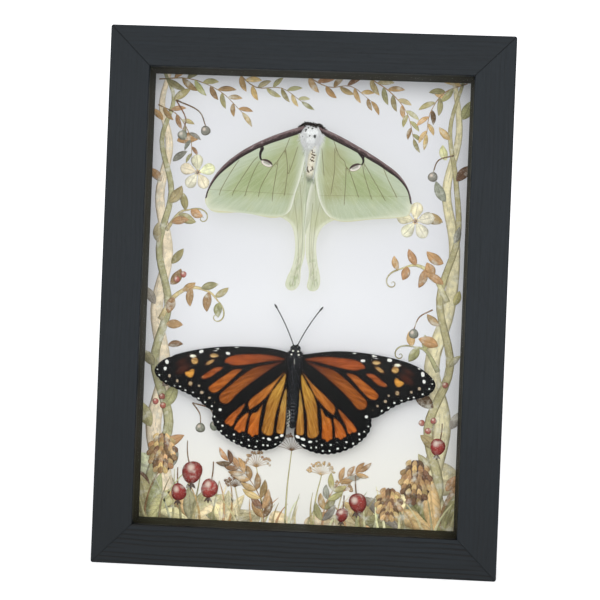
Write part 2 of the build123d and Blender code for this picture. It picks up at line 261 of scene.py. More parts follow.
foam = Finish("foamBoard")
foamCells = foam.node("TexVoronoi", {"feature": "F1"}, {"Vector": foam.place, "Scale": 1500})
dress(["foam_board"], foam.coat({"Base Color": foam.mix(foamCells * 0.5, tone(240, 240, 236), tone(214, 214, 208)),
                                 "Roughness": 0.85, "Normal": foam.bump(foamCells, 0.4, 0.1)}))

board = Finish("hardboard")
fibreFlecks = board.noise(board.place, 900, 5, 0.75)
boardCloud = board.noise(board.place, 45, 3)
flecks = (fibreFlecks * 0.75 + boardCloud * 0.25).rise(0.3, 0.72)
boardColour = board.ramp(flecks, [(0.0, tone(70, 47, 30)), (0.45, tone(124, 90, 60)), (1.0, tone(158, 122, 86))])
dress(["back_panel"],
      board.matt(boardColour, fibreFlecks, rough=0.725, spread=0.25, strength=0.35, depth=0.06, shine=0.5))


def platedSteel(name, light, dark, rough, brushed):  # brushed: how the marks are stretched along X, Y and Z
    steel = Finish(name)
    marks = steel.drawn(steel.axes(), brushed, 4, 0.7)
    spangle = steel.node("TexVoronoi", {"feature": "F1"}, {"Vector": steel.place, "Scale": 700}, output="Color")
    stain = steel.noise(steel.place, 160, 4)
    patch = steel.node("SeparateColor", {}, (spangle,))
    level = marks * 0.5 + patch * 0.2 + stain * 0.4
    return steel.coat({"Base Color": steel.mix(level.rise(0.25, 0.8), dark, light), "Metallic": 1.0,
                       "Roughness": rough + (marks - 0.5) * 0.22 + stain.rise(0.55, 0.75) * 0.15,
                       "Normal": steel.bump(marks, 0.2, 0.02)})


zinc = platedSteel("zincSteel", tone(196, 198, 202), tone(128, 130, 136), 0.34, (6.0, 2.0, 1.2))
screwSteel = platedSteel("screwSteel", tone(184, 184, 186), tone(112, 112, 116), 0.3, (3.0, 0.8, 3.0))
pinSteel = platedSteel("pinSteel", tone(178, 178, 180), tone(116, 116, 120), 0.28, (5.0, 0.4, 5.0))
buttonNames = [f"turn_button_{side}_{end}" for side in ("left", "right") for end in ("lower", "upper")]
dress(buttonNames + ["sawtooth_hanger"], zinc)
dress(["turn_button_screws", "hanger_nails", "corner_v_nails"], screwSteel)
dress(["luna_pin", "monarch_pin"], pinSteel)
print("frame, boards and fittings finished")


# Lines and spots across a wing are numpy arrays in millimetres

def smoothLine(points, steps=5, closed=False):  # a smooth line through given points
    fixed = np.array(points, float)
    count = len(fixed)
    line = []
    for i in range(count if closed else count - 1):
        here, ahead = fixed[i], fixed[(i + 1) % count]
        before = fixed[i - 1] if closed or i else 2 * here - ahead
        after = fixed[(i + 2) % count] if closed or i + 2 < count else 2 * ahead - here
        for t in np.arange(steps) / steps:
            line.append(0.5 * (2 * here + (ahead - before) * t + (2 * before - 5 * here + 4 * ahead - after) * t * t
                               + (3 * here - before - 3 * ahead + after) * t ** 3))
    return np.array(line if closed else line + [fixed[-1]])


def nearest(line, spots, closed=False):  # each spot's gap to a line, how far along it that is, and on which side
    starts = line if closed else line[:-1]
    runs = (np.roll(line, -1, axis=0) if closed else line[1:]) - starts
    lengths = np.maximum(np.linalg.norm(runs, axis=1), 1e-9)
    offset = spots[:, None, :] - starts[None]
    t = np.clip((offset * runs).sum(2) / lengths ** 2, 0, 1)
    gaps = np.linalg.norm(offset - t[..., None] * runs, axis=2)
    best = gaps.argmin(1)
    rows = np.arange(len(spots))
    before = np.concatenate(([0], np.cumsum(lengths)))[best]
    turning = runs[best, 0] * offset[rows, best, 1] - runs[best, 1] * offset[rows, best, 0]
    return gaps[rows, best], before + t[rows, best] * lengths[best], np.where(turning < 0, -1.0, 1.0)


def inset(loop, spots):  # distance inside a closed loop, negative outside it
    x, z = spots[:, :1], spots[:, 1:]
    ends = np.roll(loop, -1, axis=0)
    rises = ends[:, 1] - loop[:, 1]
    rises[rises == 0] = 1e-9
    meets = loop[:, 0] + (ends[:, 0] - loop[:, 0]) * (z - loop[:, 1]) / rises
    inside = (((loop[:, 1] > z) != (ends[:, 1] > z)) & (x < meets)).sum(1) % 2 == 1
    return np.where(inside, 1, -1) * nearest(loop, spots, closed=True)[0]


def insetOval(spots, oval):  # the same for an oval (x, z, width, height, tilt)
    x, z, width, height, tilt = (*oval, 0)[:5]
    turn = math.radians(tilt)
    across = (spots[:, 0] - x) * math.cos(turn) + (spots[:, 1] - z) * math.sin(turn)
    up = (spots[:, 1] - z) * math.cos(turn) - (spots[:, 0] - x) * math.sin(turn)
    return (1 - np.hypot(across / (width / 2), up / (height / 2))) * min(width, height) / 2


def soften(value, low, high):
    t = np.clip((value - low) / (high - low), 0, 1)
    return t * t * (3 - 2 * t)


def spotsOf(mesh):  # every vertex's place across and up
    flat = np.zeros(len(mesh.vertices) * 3)
    mesh.vertices.foreach_get("co", flat)
    return flat.reshape(-1, 3)[:, [0, 2]] / mm


def keep(mesh, name, values):  # stores a number or a colour on every vertex
    coloured = np.ndim(values) == 2
    layer = mesh.attributes.new(name, "FLOAT_COLOR" if coloured else "FLOAT", "POINT")
    layer.data.foreach_set("color" if coloured else "value", np.ascontiguousarray(values, np.float32).ravel())


def keepRays(mesh, spots, root):  # a UV map of the distance and direction from the wing's root
    layer = mesh.uv_layers.new(name="ray")
    corners = np.zeros(len(mesh.loops), int)
    mesh.loops.foreach_get("vertex_index", corners)
    reach = np.hypot(*(spots - root).T)
    turn = np.arctan2(spots[:, 1] - root[1], np.abs(spots[:, 0] - root[0]))
    layer.data.foreach_set("uv", np.stack((reach, turn * 40), axis=1)[corners].astype(np.float32).ravel())


def flatWing(node, cell):  # the front of a CAD wing, cut into a grid of cells
    cut = bmesh.new()
    cut.from_mesh(nodes[node].data)
    bmesh.ops.remove_doubles(cut, verts=cut.verts, dist=0.002 * mm)
    cut.normal_update()
    bmesh.ops.delete(cut, geom=[f for f in cut.faces if f.normal.y > -0.9], context="FACES")
    bmesh.ops.dissolve_limit(cut, angle_limit=0.001, verts=cut.verts, edges=cut.edges)
    while True:
        coarse = [e for e in cut.edges if e.calc_length() > 0.8 * cell * mm]
        if not coarse:
            break
        bmesh.ops.subdivide_edges(cut, edges=coarse, cuts=1)
    return cut


def scallop(cut, margin, pitch, depth):  # small bays along a margin, never past the outline
    rim = [v for v in cut.verts if v.is_boundary]
    spots = np.array([(v.co.x / mm, v.co.z / mm) for v in rim])
    gaps, along = nearest(margin, spots)[:2]
    total = np.linalg.norm(np.diff(margin, axis=0), axis=1).sum()
    fade = soften(along, 0, 2 * pitch) * soften(total - along, 0, 2 * pitch)
    middle = spots.mean(0)
    for vert, gap, s, amount, spot in zip(rim, gaps, along, fade, spots):
        if gap < 1.2:
            inward = middle - spot
            bay = depth * amount * (0.5 - 0.5 * math.cos(2 * math.pi * s / pitch)) ** 1.5
            vert.co.x += inward[0] / np.linalg.norm(inward) * bay * mm
            vert.co.z += inward[1] / np.linalg.norm(inward) * bay * mm


def gridCut(cut, cell):
    spots = np.array([tuple(v.co) for v in cut.verts])
    for axis in (0, 2):
        direction = Vector((1, 0, 0)) if axis == 0 else Vector((0, 0, 1))
        for line in range(math.floor(spots[:, axis].min() / mm / cell), math.ceil(spots[:, axis].max() / mm / cell)):
            bmesh.ops.bisect_plane(cut, geom=cut.verts[:] + cut.edges[:] + cut.faces[:], dist=1e-8,
                                   plane_co=direction * line * cell * mm, plane_no=direction)


def wingPiece(node, cut, thickness, relief, fields, root, material, slot):  # bends a sheet, backs it and paints it
    mesh = bpy.data.meshes.new(node + "_scales")
    cut.to_mesh(mesh)
    spots = spotsOf(mesh)
    for vert, lift in zip(cut.verts, relief(spots)):
        vert.co.y -= lift * mm
    cut.normal_update()
    bmesh.ops.solidify(cut, geom=cut.faces[:], thickness=thickness * mm)
    bmesh.ops.recalc_face_normals(cut, faces=cut.faces)
    cut.to_mesh(mesh)
    cut.free()
    spots = spotsOf(mesh)
    for key, values in fields(spots).items():
        keep(mesh, key, values)
    keepRays(mesh, spots, root)
    return place(node + "_scales", mesh, material, slot, [node], smooth=50)


monarch = {
    "bodyLine": -2.3, "datum": 80.0, "cell": 0.42, "thickness": 0.12, "bayPitch": 2.35, "bayDepth": 0.34,
    "veinRise": 0.16, "cellDip": 0.1, "black": tone(6, 7, 8), "scales": tone(14, 14, 14), "smoke": tone(76, 34, 20),
    "brown": tone(50, 22, 10), "white": tone(232, 231, 226), "beige": tone(180, 158, 132),
}

# Orange cells of the left wings: outward from the body line and up from the datum, then the tones at root and end
foreCells = [
    ([(4, -1), (7.7, 0), (12.7, .4), (17.7, .3), (22.7, -.2), (25.9, -1.5), (27, -3.1), (25.6, -3.5), (23.4, -4.2),
      (19.7, -3.9), (14.7, -3), (9.7, -2), (5.2, -1.5)], tone(104, 47, 22), tone(136, 62, 25)),
    ([(4.7, -2), (9.7, -3.3), (14.7, -4.5), (18.7, -7), (23.7, -11.2), (27.7, -15), (28.4, -16.8), (27.7, -18.5),
      (25.7, -19), (24.2, -18.1), (21.7, -15.2), (17.7, -11.6), (12.7, -7.7), (7.7, -3.9)],
     tone(80, 34, 17), tone(130, 68, 24)),
    ([(20, -5.6), (23.2, -5.8), (25.7, -7.5), (29.7, -10.4), (32.5, -12.9), (32.2, -14.3), (31.2, -14.9),
      (29.2, -14.5), (25.7, -11.4), (21.7, -7.3)], tone(138, 72, 28), tone(148, 77, 26)),
    ([(27.4, -5.3), (30.2, -5.2), (32.7, -6.8), (35.2, -8.7), (35.7, -9.3), (34.7, -9.9), (32.2, -9.1),
      (29.7, -7.2)], tone(126, 60, 28), tone(142, 70, 28)),
]
foreSpots = [  # small orange fields near the tip: an outline, or an oval's out, up, width, height and tilt
    ((31.1, -.8, 3.3, 1.65, 0), tone(181, 148, 98)), ((32.5, -3.4, 3.7, 1.4, -30), tone(170, 130, 78)),
    ((39.2, -1.3, 2.8, 1.3, 0), tone(214, 208, 190)), ((38.4, -3.1, 2.8, 2.6, 0), tone(174, 134, 78)),
    ([(38.5, -6.4), (38.4, -7.8), (38.9, -9.0), (39.8, -9.6), (40.8, -9.3), (41.9, -8.4), (42.0, -7.7), (41.2, -7.3),
      (40.3, -6.9), (39.6, -6.3)], tone(176, 119, 48)),
    ((39.7, -11.9, 1.6, 1.8, 0), tone(160, 136, 102)), ((35.0, -9.1, 1.3, .9, -35), tone(196, 146, 92)),
]
smokyPatches = [(42.8, -6.3, 5.2, 2.6, -34), (43.4, -3.6, 3.4, 1.4, -30)]
hindCells = [
    ([(3.7, -5.8), (7.7, -9.7), (12.7, -13.7), (16.2, -16.8), (17.2, -18.4), (17, -20.2), (16.4, -20.8),
      (12.7, -18.1), (9.2, -14.3), (7.2, -11), (5.2, -8)], tone(160, 106, 43), tone(153, 86, 32)),
    ([(3.3, -6.4), (5.7, -10), (8.2, -13.5), (10, -17.5), (10.7, -22), (11.4, -26.6), (11.7, -28.7), (10.7, -30),
      (9.2, -30.6), (7.5, -30), (7.1, -27), (6.5, -22), (5.2, -17), (3.7, -11)],
     tone(166, 122, 48), tone(149, 98, 38)),
    ([(2.9, -12), (4.7, -18), (5.7, -25), (6, -29), (4.7, -29.8), (3.3, -29.4), (2.8, -25), (2.6, -18)],
     tone(162, 128, 64), tone(153, 102, 43)),
    ([(11.7, -18.7), (13.7, -21.6), (15.7, -22.5), (16.5, -25), (16.9, -28.5), (17, -30), (16, -30.6), (15.2, -31.4),
      (14.2, -30.5), (13, -30.2), (12.9, -27), (12.4, -23)], tone(155, 94, 36), tone(163, 84, 26)),
    ([(16.9, -22.2), (19.2, -23.5), (21.2, -26), (22.3, -28.5), (21.4, -29.2), (20.2, -30.1), (19.1, -29.4),
      (18.2, -29.5), (17.8, -26.5)], tone(152, 85, 34), tone(160, 82, 30)),
    ([(18.4, -18.5), (21.7, -21.2), (24.7, -24), (26.1, -26), (25.2, -27), (24.3, -27), (23.7, -27.7), (22.7, -27),
      (21.7, -24.5), (19.7, -21.5)], tone(136, 74, 32), tone(156, 80, 30)),
]
cellMoves = {  # how the right wings differ from the left ones mirrored: turn in degrees, shift out and up
    "monarch_forewing_left": (0, 0, 0), "monarch_forewing_right": (-0.9, 0, 0.3),
    "monarch_hindwing_left": (0, 0, 0), "monarch_hindwing_right": (-2.4, -0.3, 0),
}

# White dots: across, up, and where one is out of the common size also width, height and tilt
whiteDots = {
    "monarch_forewing_left": [
        (-51.4, 76.1, 1.4, 2.0, 12), (-52, 73.5, 1.3, 1.6), (-50.2, 70.8, 1.1, 1.5), (-47.1, 69, 1.0, 1.3),
        (-38.7, 67.4, 1.0, .9), (-37.5, 64.9, 1.4, 1.3), (-34.5, 63, 1.1, 1.0), (-32.3, 61.3, .6, .5),
        (-30.2, 58.6, 1.3, 1.3), (-55.1, 74.4, .6, .6), (-55.0, 73.0, .6, .6), (-54.2, 70.9), (-51.5, 68.6),
        (-48.1, 67), (-46, 66.8), (-43.8, 65.5, 1.1, .7), (-40.9, 64.8), (-38.7, 62.6, 1.2, .8, -20), (-36.1, 61.2),
        (-33.4, 59.8), (-38.3, 80.6, 2.1, 1.3, 20), (-32.1, 82, 2.4, .5, 6), (-32.5, 81.2, 3.2, .5, 6),
        (-28.1, 80.3, 1.8, 1.2, -10), (-24.8, 82.7, 2.3, .45, 4), (-49.8, 78.3, 2.4, .5, 22),
    ],
    "monarch_forewing_right": [
        (46.6, 75.3, 1.4, 2.0, 12), (47.2, 72.6, 1.3, 1.7, 15), (45.5, 69.9, 1.2, 1.4), (42.5, 68.4, 1.0, 1.2),
        (39.6, 68.2, .7, .4), (34, 66.7, 1.0, .9), (32.8, 64.5, 1.3, 1.2), (29.9, 62.6, 1.1, 1.0), (28, 60.9, .6, .5),
        (25.8, 58.3, 1.4, 1.3), (50.3, 73.6, .7, .7), (50.3, 71.9, .7, .7), (49.3, 69.9), (46.8, 67.8), (43.5, 66.4),
        (41.5, 66), (39, 65, 1.2, .6), (36.2, 64.1, 1.1, .9), (34.1, 62.1, 1.1, .8, 30), (31.6, 60.8, .8, 1.2, -30),
        (29, 59.4, 1.1, .5, 15), (20.3, 82.3, 2.5, .45, -2), (27.8, 81.6, 2.6, .7, -8), (28.3, 80.8, 3.4, .45, -4),
        (33.8, 80.2, 2.0, 1.4, -6), (23.7, 79.6, 1.9, 1.1), (45.1, 77.4, 1.6, .6, -30), (36.9, 79.6, .1, .1),
    ],
    "monarch_hindwing_left": [
        (-32.3, 55.8, .9, .9), (-30.9, 53.8), (-29.1, 52.5, 1.1, .9, -30), (-29.6, 50.4, 1.0, .8, -30),
        (-27.3, 48.8, 1.1, .6, -25), (-24.5, 46.8, 1.1, .7, -10), (-21.6, 46.3), (-18.6, 45.2),
        (-16, 44.9, 1.1, .7, -10), (-13.2, 45.7, .9, .9), (-11.4, 45.6, 1.1, .8), (-8.5, 46.2, 1.6, .6, 32),
        (-6.7, 47.2, .9, .6, 20), (-24.6, 49.2, .9, .9), (-21.1, 48.6, .6, .6), (-18.9, 47.5), (-15.6, 47.1),
        (-13.2, 48.4, 1.1, .8), (-11, 48, 1.9, 1.1, -20), (-8.2, 48.7, 2.0, .9, 18), (-6.2, 49.6, 1.6, 1.2, 20),
    ],
    "monarch_hindwing_right": [
        (26.7, 54.6, .8, 1.0), (25.3, 52.5, .9, .9), (23.3, 51.6, 1.0, 1.1), (23.6, 49.5, .9, .9),
        (21.2, 47.8, .8, 1.1, -20), (18.1, 46, 1.1, .6), (15.4, 45.6, 1.2, .8, 15), (12.3, 44.6), (9.7, 44.4, 1.1, .7),
        (7.1, 45.7, .8, 1.0), (5.2, 45.5), (2.3, 46.2, 2.0, .7, -25), (.2, 47.2, 1.1, .6, -15), (18.6, 48.3, 1.1, .8),
        (15.1, 48, .6, .6), (12.7, 46.9, 1.0, .8), (9.3, 46.7, .9, .8), (7.2, 48.1, 1.1, .6), (4.7, 47.7, 1.8, .9, 8),
        (2, 48.6, 2.0, 1.1, -12), (-.1, 49.4, 1.9, 1.2, -25),
    ],
}
commonDot = (0.9, 0.8)
beigeDots = {(-50.2, 70.8), (-47.1, 69), (-38.7, 67.4), (-37.5, 64.9), (-34.5, 63), (-32.3, 61.3),
             (45.5, 69.9), (42.5, 68.4), (39.6, 68.2), (34, 66.7), (32.8, 64.5), (29.9, 62.6), (28, 60.9)}
monarchMargins = {  # outer margins, from the tip down to the body, for their bays
    "monarch_forewing_left": [(-56.1, 72.8), (-54.3, 69.4), (-47.5, 65.8), (-40, 62.5), (-33.8, 58.4)],
    "monarch_forewing_right": [(51.6, 71.4), (50, 68.2), (43, 65.3), (35, 61.6), (29, 58)],
    "monarch_hindwing_left": [(-32.5, 59.5), (-33.2, 54.5), (-29.8, 49.4), (-24, 45.7), (-15.5, 43.4), (-8.3, 45.1)],
    "monarch_hindwing_right": [(27.2, 59.5), (27.8, 54), (24.6, 49), (18.5, 44.9), (9.5, 43.1), (2, 45.4)],
}


def monarchFields(name):  # what the wing's finish and relief need to know at each spot
    fore, side = "fore" in name, -1 if "left" in name else 1
    turn, shiftOut, shiftUp = cellMoves[name]
    cells = foreCells if fore else hindCells

    def onWing(spots):  # turns places on this wing into the left wing's own measures
        own = np.stack((side * (spots[:, 0] - monarch["bodyLine"]), spots[:, 1] - monarch["datum"]), axis=1)
        own -= (shiftOut, shiftUp)
        c, s = math.cos(math.radians(turn)), math.sin(math.radians(turn))
        return np.stack((own[:, 0] * c + own[:, 1] * s, own[:, 1] * c - own[:, 0] * s), axis=1)

    def fields(spots):
        own = onWing(spots)
        reach = np.hypot(own[:, 0], own[:, 1])
        depth = np.full(len(own), -9.0)
        paint = np.zeros((len(own), 4))
        for outline, rootTone, endTone in cells:
            loop = smoothLine(outline, 4, closed=True)
            gap = inset(loop, own)
            reaches = np.hypot(loop[:, 0], loop[:, 1])
            t = soften(reach, reaches.min(), 0.25 * reaches.min() + 0.75 * reaches.max())[:, None]
            better = gap > depth
            depth = np.where(better, gap, depth)
            paint = np.where(better[:, None], (1 - t) * np.array(rootTone) + t * np.array(endTone), paint)
        if fore:
            for shape, patchTone in foreSpots:
                oval = isinstance(shape, tuple)
                gap = insetOval(own, shape) if oval else inset(smoothLine(shape, 3, closed=True), own)
                better = gap > depth
                depth = np.where(better, gap, depth)
                paint = np.where(better[:, None], np.array(patchTone), paint)
        every = np.array([insetOval(spots, dot if len(dot) > 2 else (*dot, *commonDot)) for dot in whiteDots[name]])
        beige = np.array([dot[:2] in beigeDots for dot in whiteDots[name]])[every.argmax(0)]
        smoke = np.max([insetOval(own, oval) for oval in smokyPatches], axis=0) if fore else np.full(len(own), -9.0)
        return {"cell": np.clip(depth, -2, 2), "paint": paint, "dot": np.clip(every.max(0), -1, 1),
                "beige": beige.astype(float), "smoke": np.clip(smoke, -2, 2)}

    return fields


def monarchRelief(fields):  # veins stand up and cells dip, on a wing that bows a little
    def relief(spots):
        values = fields(spots)
        out = np.abs(spots[:, 0] - monarch["bodyLine"])
        bow = 0.45 * np.sin(out / 26) - 0.006 * out
        veins = monarch["veinRise"] * (1 - soften(values["cell"], -0.25, 0.45))
        dip = monarch["cellDip"] * soften(values["cell"], 0.2, 1.6)
        return bow + veins - dip + 0.06 * soften(values["dot"], -0.1, 0.2)
    return relief


monarchScales = Finish("monarchScales")
powder = monarchScales.noise(monarchScales.place, 4200, 2, 0.6)
rays = monarchScales.mapped("ray")
streaks = monarchScales.drawn(rays, (0.13, 0.65), 4, 0.62)
blotch = monarchScales.noise(monarchScales.place, 300, 3)
cellDepth = monarchScales.attribute("cell")
orange = monarchScales.attribute("paint", "Color")
fineRays = monarchScales.drawn(rays, (0.3, 1.4), 3, 0.6)
paler, deeper = [monarchScales.times(orange, shade) for shade in ((1.7, 1.95, 2.1), (0.6, 0.46, 0.36))]
orange = monarchScales.mix(streaks.rise(0.46, 0.62) * 0.9, orange, paler)
orange = monarchScales.mix(streaks.rise(0.48, 0.34) * 0.7, orange, deeper)
orange = monarchScales.mix(fineRays.rise(0.5, 0.62) * 0.7, orange, paler)
orange = monarchScales.mix(cellDepth.rise(0.75, 0.0) * 0.5, orange, monarchScales.times(orange, (0.62, 0.5, 0.42)))
orange = monarchScales.mix((blotch - 0.35) * 0.7, orange, monarchScales.times(orange, (0.74, 0.64, 0.56)))
ground = monarchScales.mix(powder.rise(0.35, 0.75) * 0.6, monarch["black"], monarch["scales"])
smoky = monarchScales.attribute("smoke").rise(-0.9, 1.1) * (streaks * 0.9 + 0.2)
ground = monarchScales.mix(smoky, ground, monarch["smoke"])
wobble = monarchScales.noise(monarchScales.place, 900, 2)
grainy = cellDepth + (powder - 0.5) * 0.22 + (wobble - 0.5) * 0.4
wingColour = monarchScales.mix(grainy.rise(-0.5, 0.0) * 0.6, ground, monarch["brown"])
wingColour = monarchScales.mix(grainy.rise(-0.1, 0.24), wingColour, orange)
dotDepth = monarchScales.attribute("dot") + (powder - 0.5) * 0.12 + (wobble - 0.5) * 0.35
dotColour = monarchScales.mix(monarchScales.attribute("beige"), monarch["white"], monarch["beige"])
wingColour = monarchScales.mix(dotDepth.rise(-0.02, 0.13), wingColour, dotColour)
monarchScales.matt(wingColour, powder, rough=0.62, spread=0.3, strength=0.3, depth=0.03, shine=0.05,
                   height=powder * 0.4 + streaks * 0.6)

for name in whiteDots:
    cut = flatWing(name, monarch["cell"])
    scallop(cut, smoothLine(monarchMargins[name]), monarch["bayPitch"], monarch["bayDepth"])
    gridCut(cut, monarch["cell"])
    fields = monarchFields(name)
    wingPiece(name, cut, monarch["thickness"], monarchRelief(fields), fields,
              (monarch["bodyLine"], monarch["datum"] - 2), monarchScales.material, "wing_orange_black")
print("monarch wings finished")


luna = {
    "bodyLine": 0.6, "wingRoot": 164.0, "cell": 0.5, "thickness": 0.14, "bandRise": 0.38, "veinRise": 0.1,
    "midLine": 141.9,
    **{name: tone(*shade) for name, shade in {
        "mid": (158, 169, 126), "dark": (150, 162, 116), "light": (184, 189, 148), "low": (179, 188, 163),
        "upper": (180, 189, 166), "olive": (158, 160, 118), "inner": (176, 182, 154), "ghost": (146, 148, 110),
        "root": (178, 182, 156), "shoulder": (184, 186, 154), "tail": (204, 204, 182), "tip": (202, 205, 184),
        "cream": (216, 217, 197), "white": (226, 228, 224), "edge": (204, 192, 142), "vein": (104, 92, 60)}.items()},
}
lunaBands = {  # the leading edge from the head to the tip
    "luna_forewing_left": [(-1, 168.9), (-5, 167.8), (-10, 165.9), (-15, 163.9), (-20, 161.5), (-25, 158.5),
                           (-30, 154.9), (-35, 149.6), (-38.4, 143.0), (-39.2, 140.0)],
    "luna_forewing_right": [(2, 169.0), (6, 167.7), (10, 165.7), (15, 163.3), (20, 160.6), (25, 157.6), (30, 154.6),
                            (35, 150.7), (38.4, 145.7), (39.9, 140.5)],
}
lunaMargins = {
    "luna_forewing_left": [(-39.2, 139.5), (-39, 137.2), (-37.2, 135), (-28, 134.2), (-18, 133.3), (-10, 133.2),
                           (-6.6, 135.5), (-5, 141), (-3.4, 146.4), (-1.5, 156)],
    "luna_forewing_right": [(40, 139.5), (39, 135.8), (36, 134.7), (28, 133.9), (20, 132.9), (14, 132.3), (9, 133.7),
                            (6, 137.2), (4.2, 141.5), (2.7, 149), (1.8, 156)],
    "luna_hindwing_left": [(-11, 133.6), (-6.2, 130.9), (-4.3, 126), (-3.9, 120), (-5, 114), (-6.8, 109.5),
                           (-6.9, 106.6), (-4.7, 105.3), (-2.5, 106.6), (-1.5, 110), (-1.4, 113.5), (-.5, 117.5),
                           (-.2, 126), (-.2, 138)],
    "luna_hindwing_right": [(11.5, 133.2), (6.4, 130.2), (4.4, 126), (4.2, 120.5), (5.2, 114.5), (6.1, 109),
                            (5.2, 106.1), (3.4, 105.3), (1.5, 106.2), (1.6, 110), (1.6, 113.5), (.6, 117.5), (.1, 126),
                            (.1, 138)],
}
lunaVeins = {
    "luna_forewing_left": [
        [(-7.8, 163), (-9, 159.6), (-11.2, 155.7), (-14.4, 151.4), (-17.8, 144.9), (-18.7, 141)],
        [(-11.7, 154.6), (-12.2, 150.3), (-13.2, 142.8), (-13.4, 139.5)],
        [(-9, 159.2), (-8, 152), (-8.3, 146.4), (-8.8, 141.7)],
        [(-19, 153.9), (-20.5, 151), (-22.6, 145.6), (-23.9, 141)],
        [(-19.8, 155.7), (-21.9, 153.2), (-27.6, 143.8), (-28.8, 141)],
        [(-26.9, 154.2), (-29.4, 150.3), (-33, 143.5), (-33.8, 141)], [(-4.5, 160), (-5.8, 155.3), (-7.4, 150)],
    ],
    "luna_forewing_right": [
        [(9, 163.7), (11.5, 157.5), (14.2, 153.5), (14.2, 139)], [(9.7, 160), (10, 152), (9, 143)],
        [(14.2, 153.5), (16, 151), (19.5, 142)], [(20.5, 154.5), (21.5, 150), (24.5, 141.5)],
        [(21, 155), (26, 147), (29.7, 141)], [(28, 154.5), (30.5, 149), (34, 142.5)],
        [(4.8, 160), (5.3, 156), (6, 150)],
    ],
    "luna_hindwing_left": [[(-3, 146), (-1.8, 134), (-1.2, 122), (-2.2, 110)],
                           [(-5, 140), (-3.4, 130), (-2.6, 118), (-4.4, 107.5)]],
    "luna_hindwing_right": [[(3, 146), (1.8, 134), (1.5, 122), (2.6, 110)],
                            [(5, 140), (3.4, 130), (3.0, 118), (4, 107.5)]],
}
lunaEyes = {  # stem from the band, then the eye's centre and tilt
    "luna_forewing_left": ([(-17.9, 159.2), (-18.6, 157.4), (-18.5, 155.4), (-17.6, 154.5)], (-16.0, 153.7), -24),
    "luna_forewing_right": ([(19.4, 158.6), (20.7, 156.6), (20.7, 154.9), (19.6, 153.9)], (17.8, 153.2), 26),
}
eyeSize = (2.25, 1.25)  # half its length and half its height
lunaGhosts = {  # the hind wings' eyespots that show through: place, then half width and height
    "luna_forewing_left": (-9.4, 144.7, 1.9, 1.7), "luna_forewing_right": (10.6, 143.6, 2.3, 1.9),
}


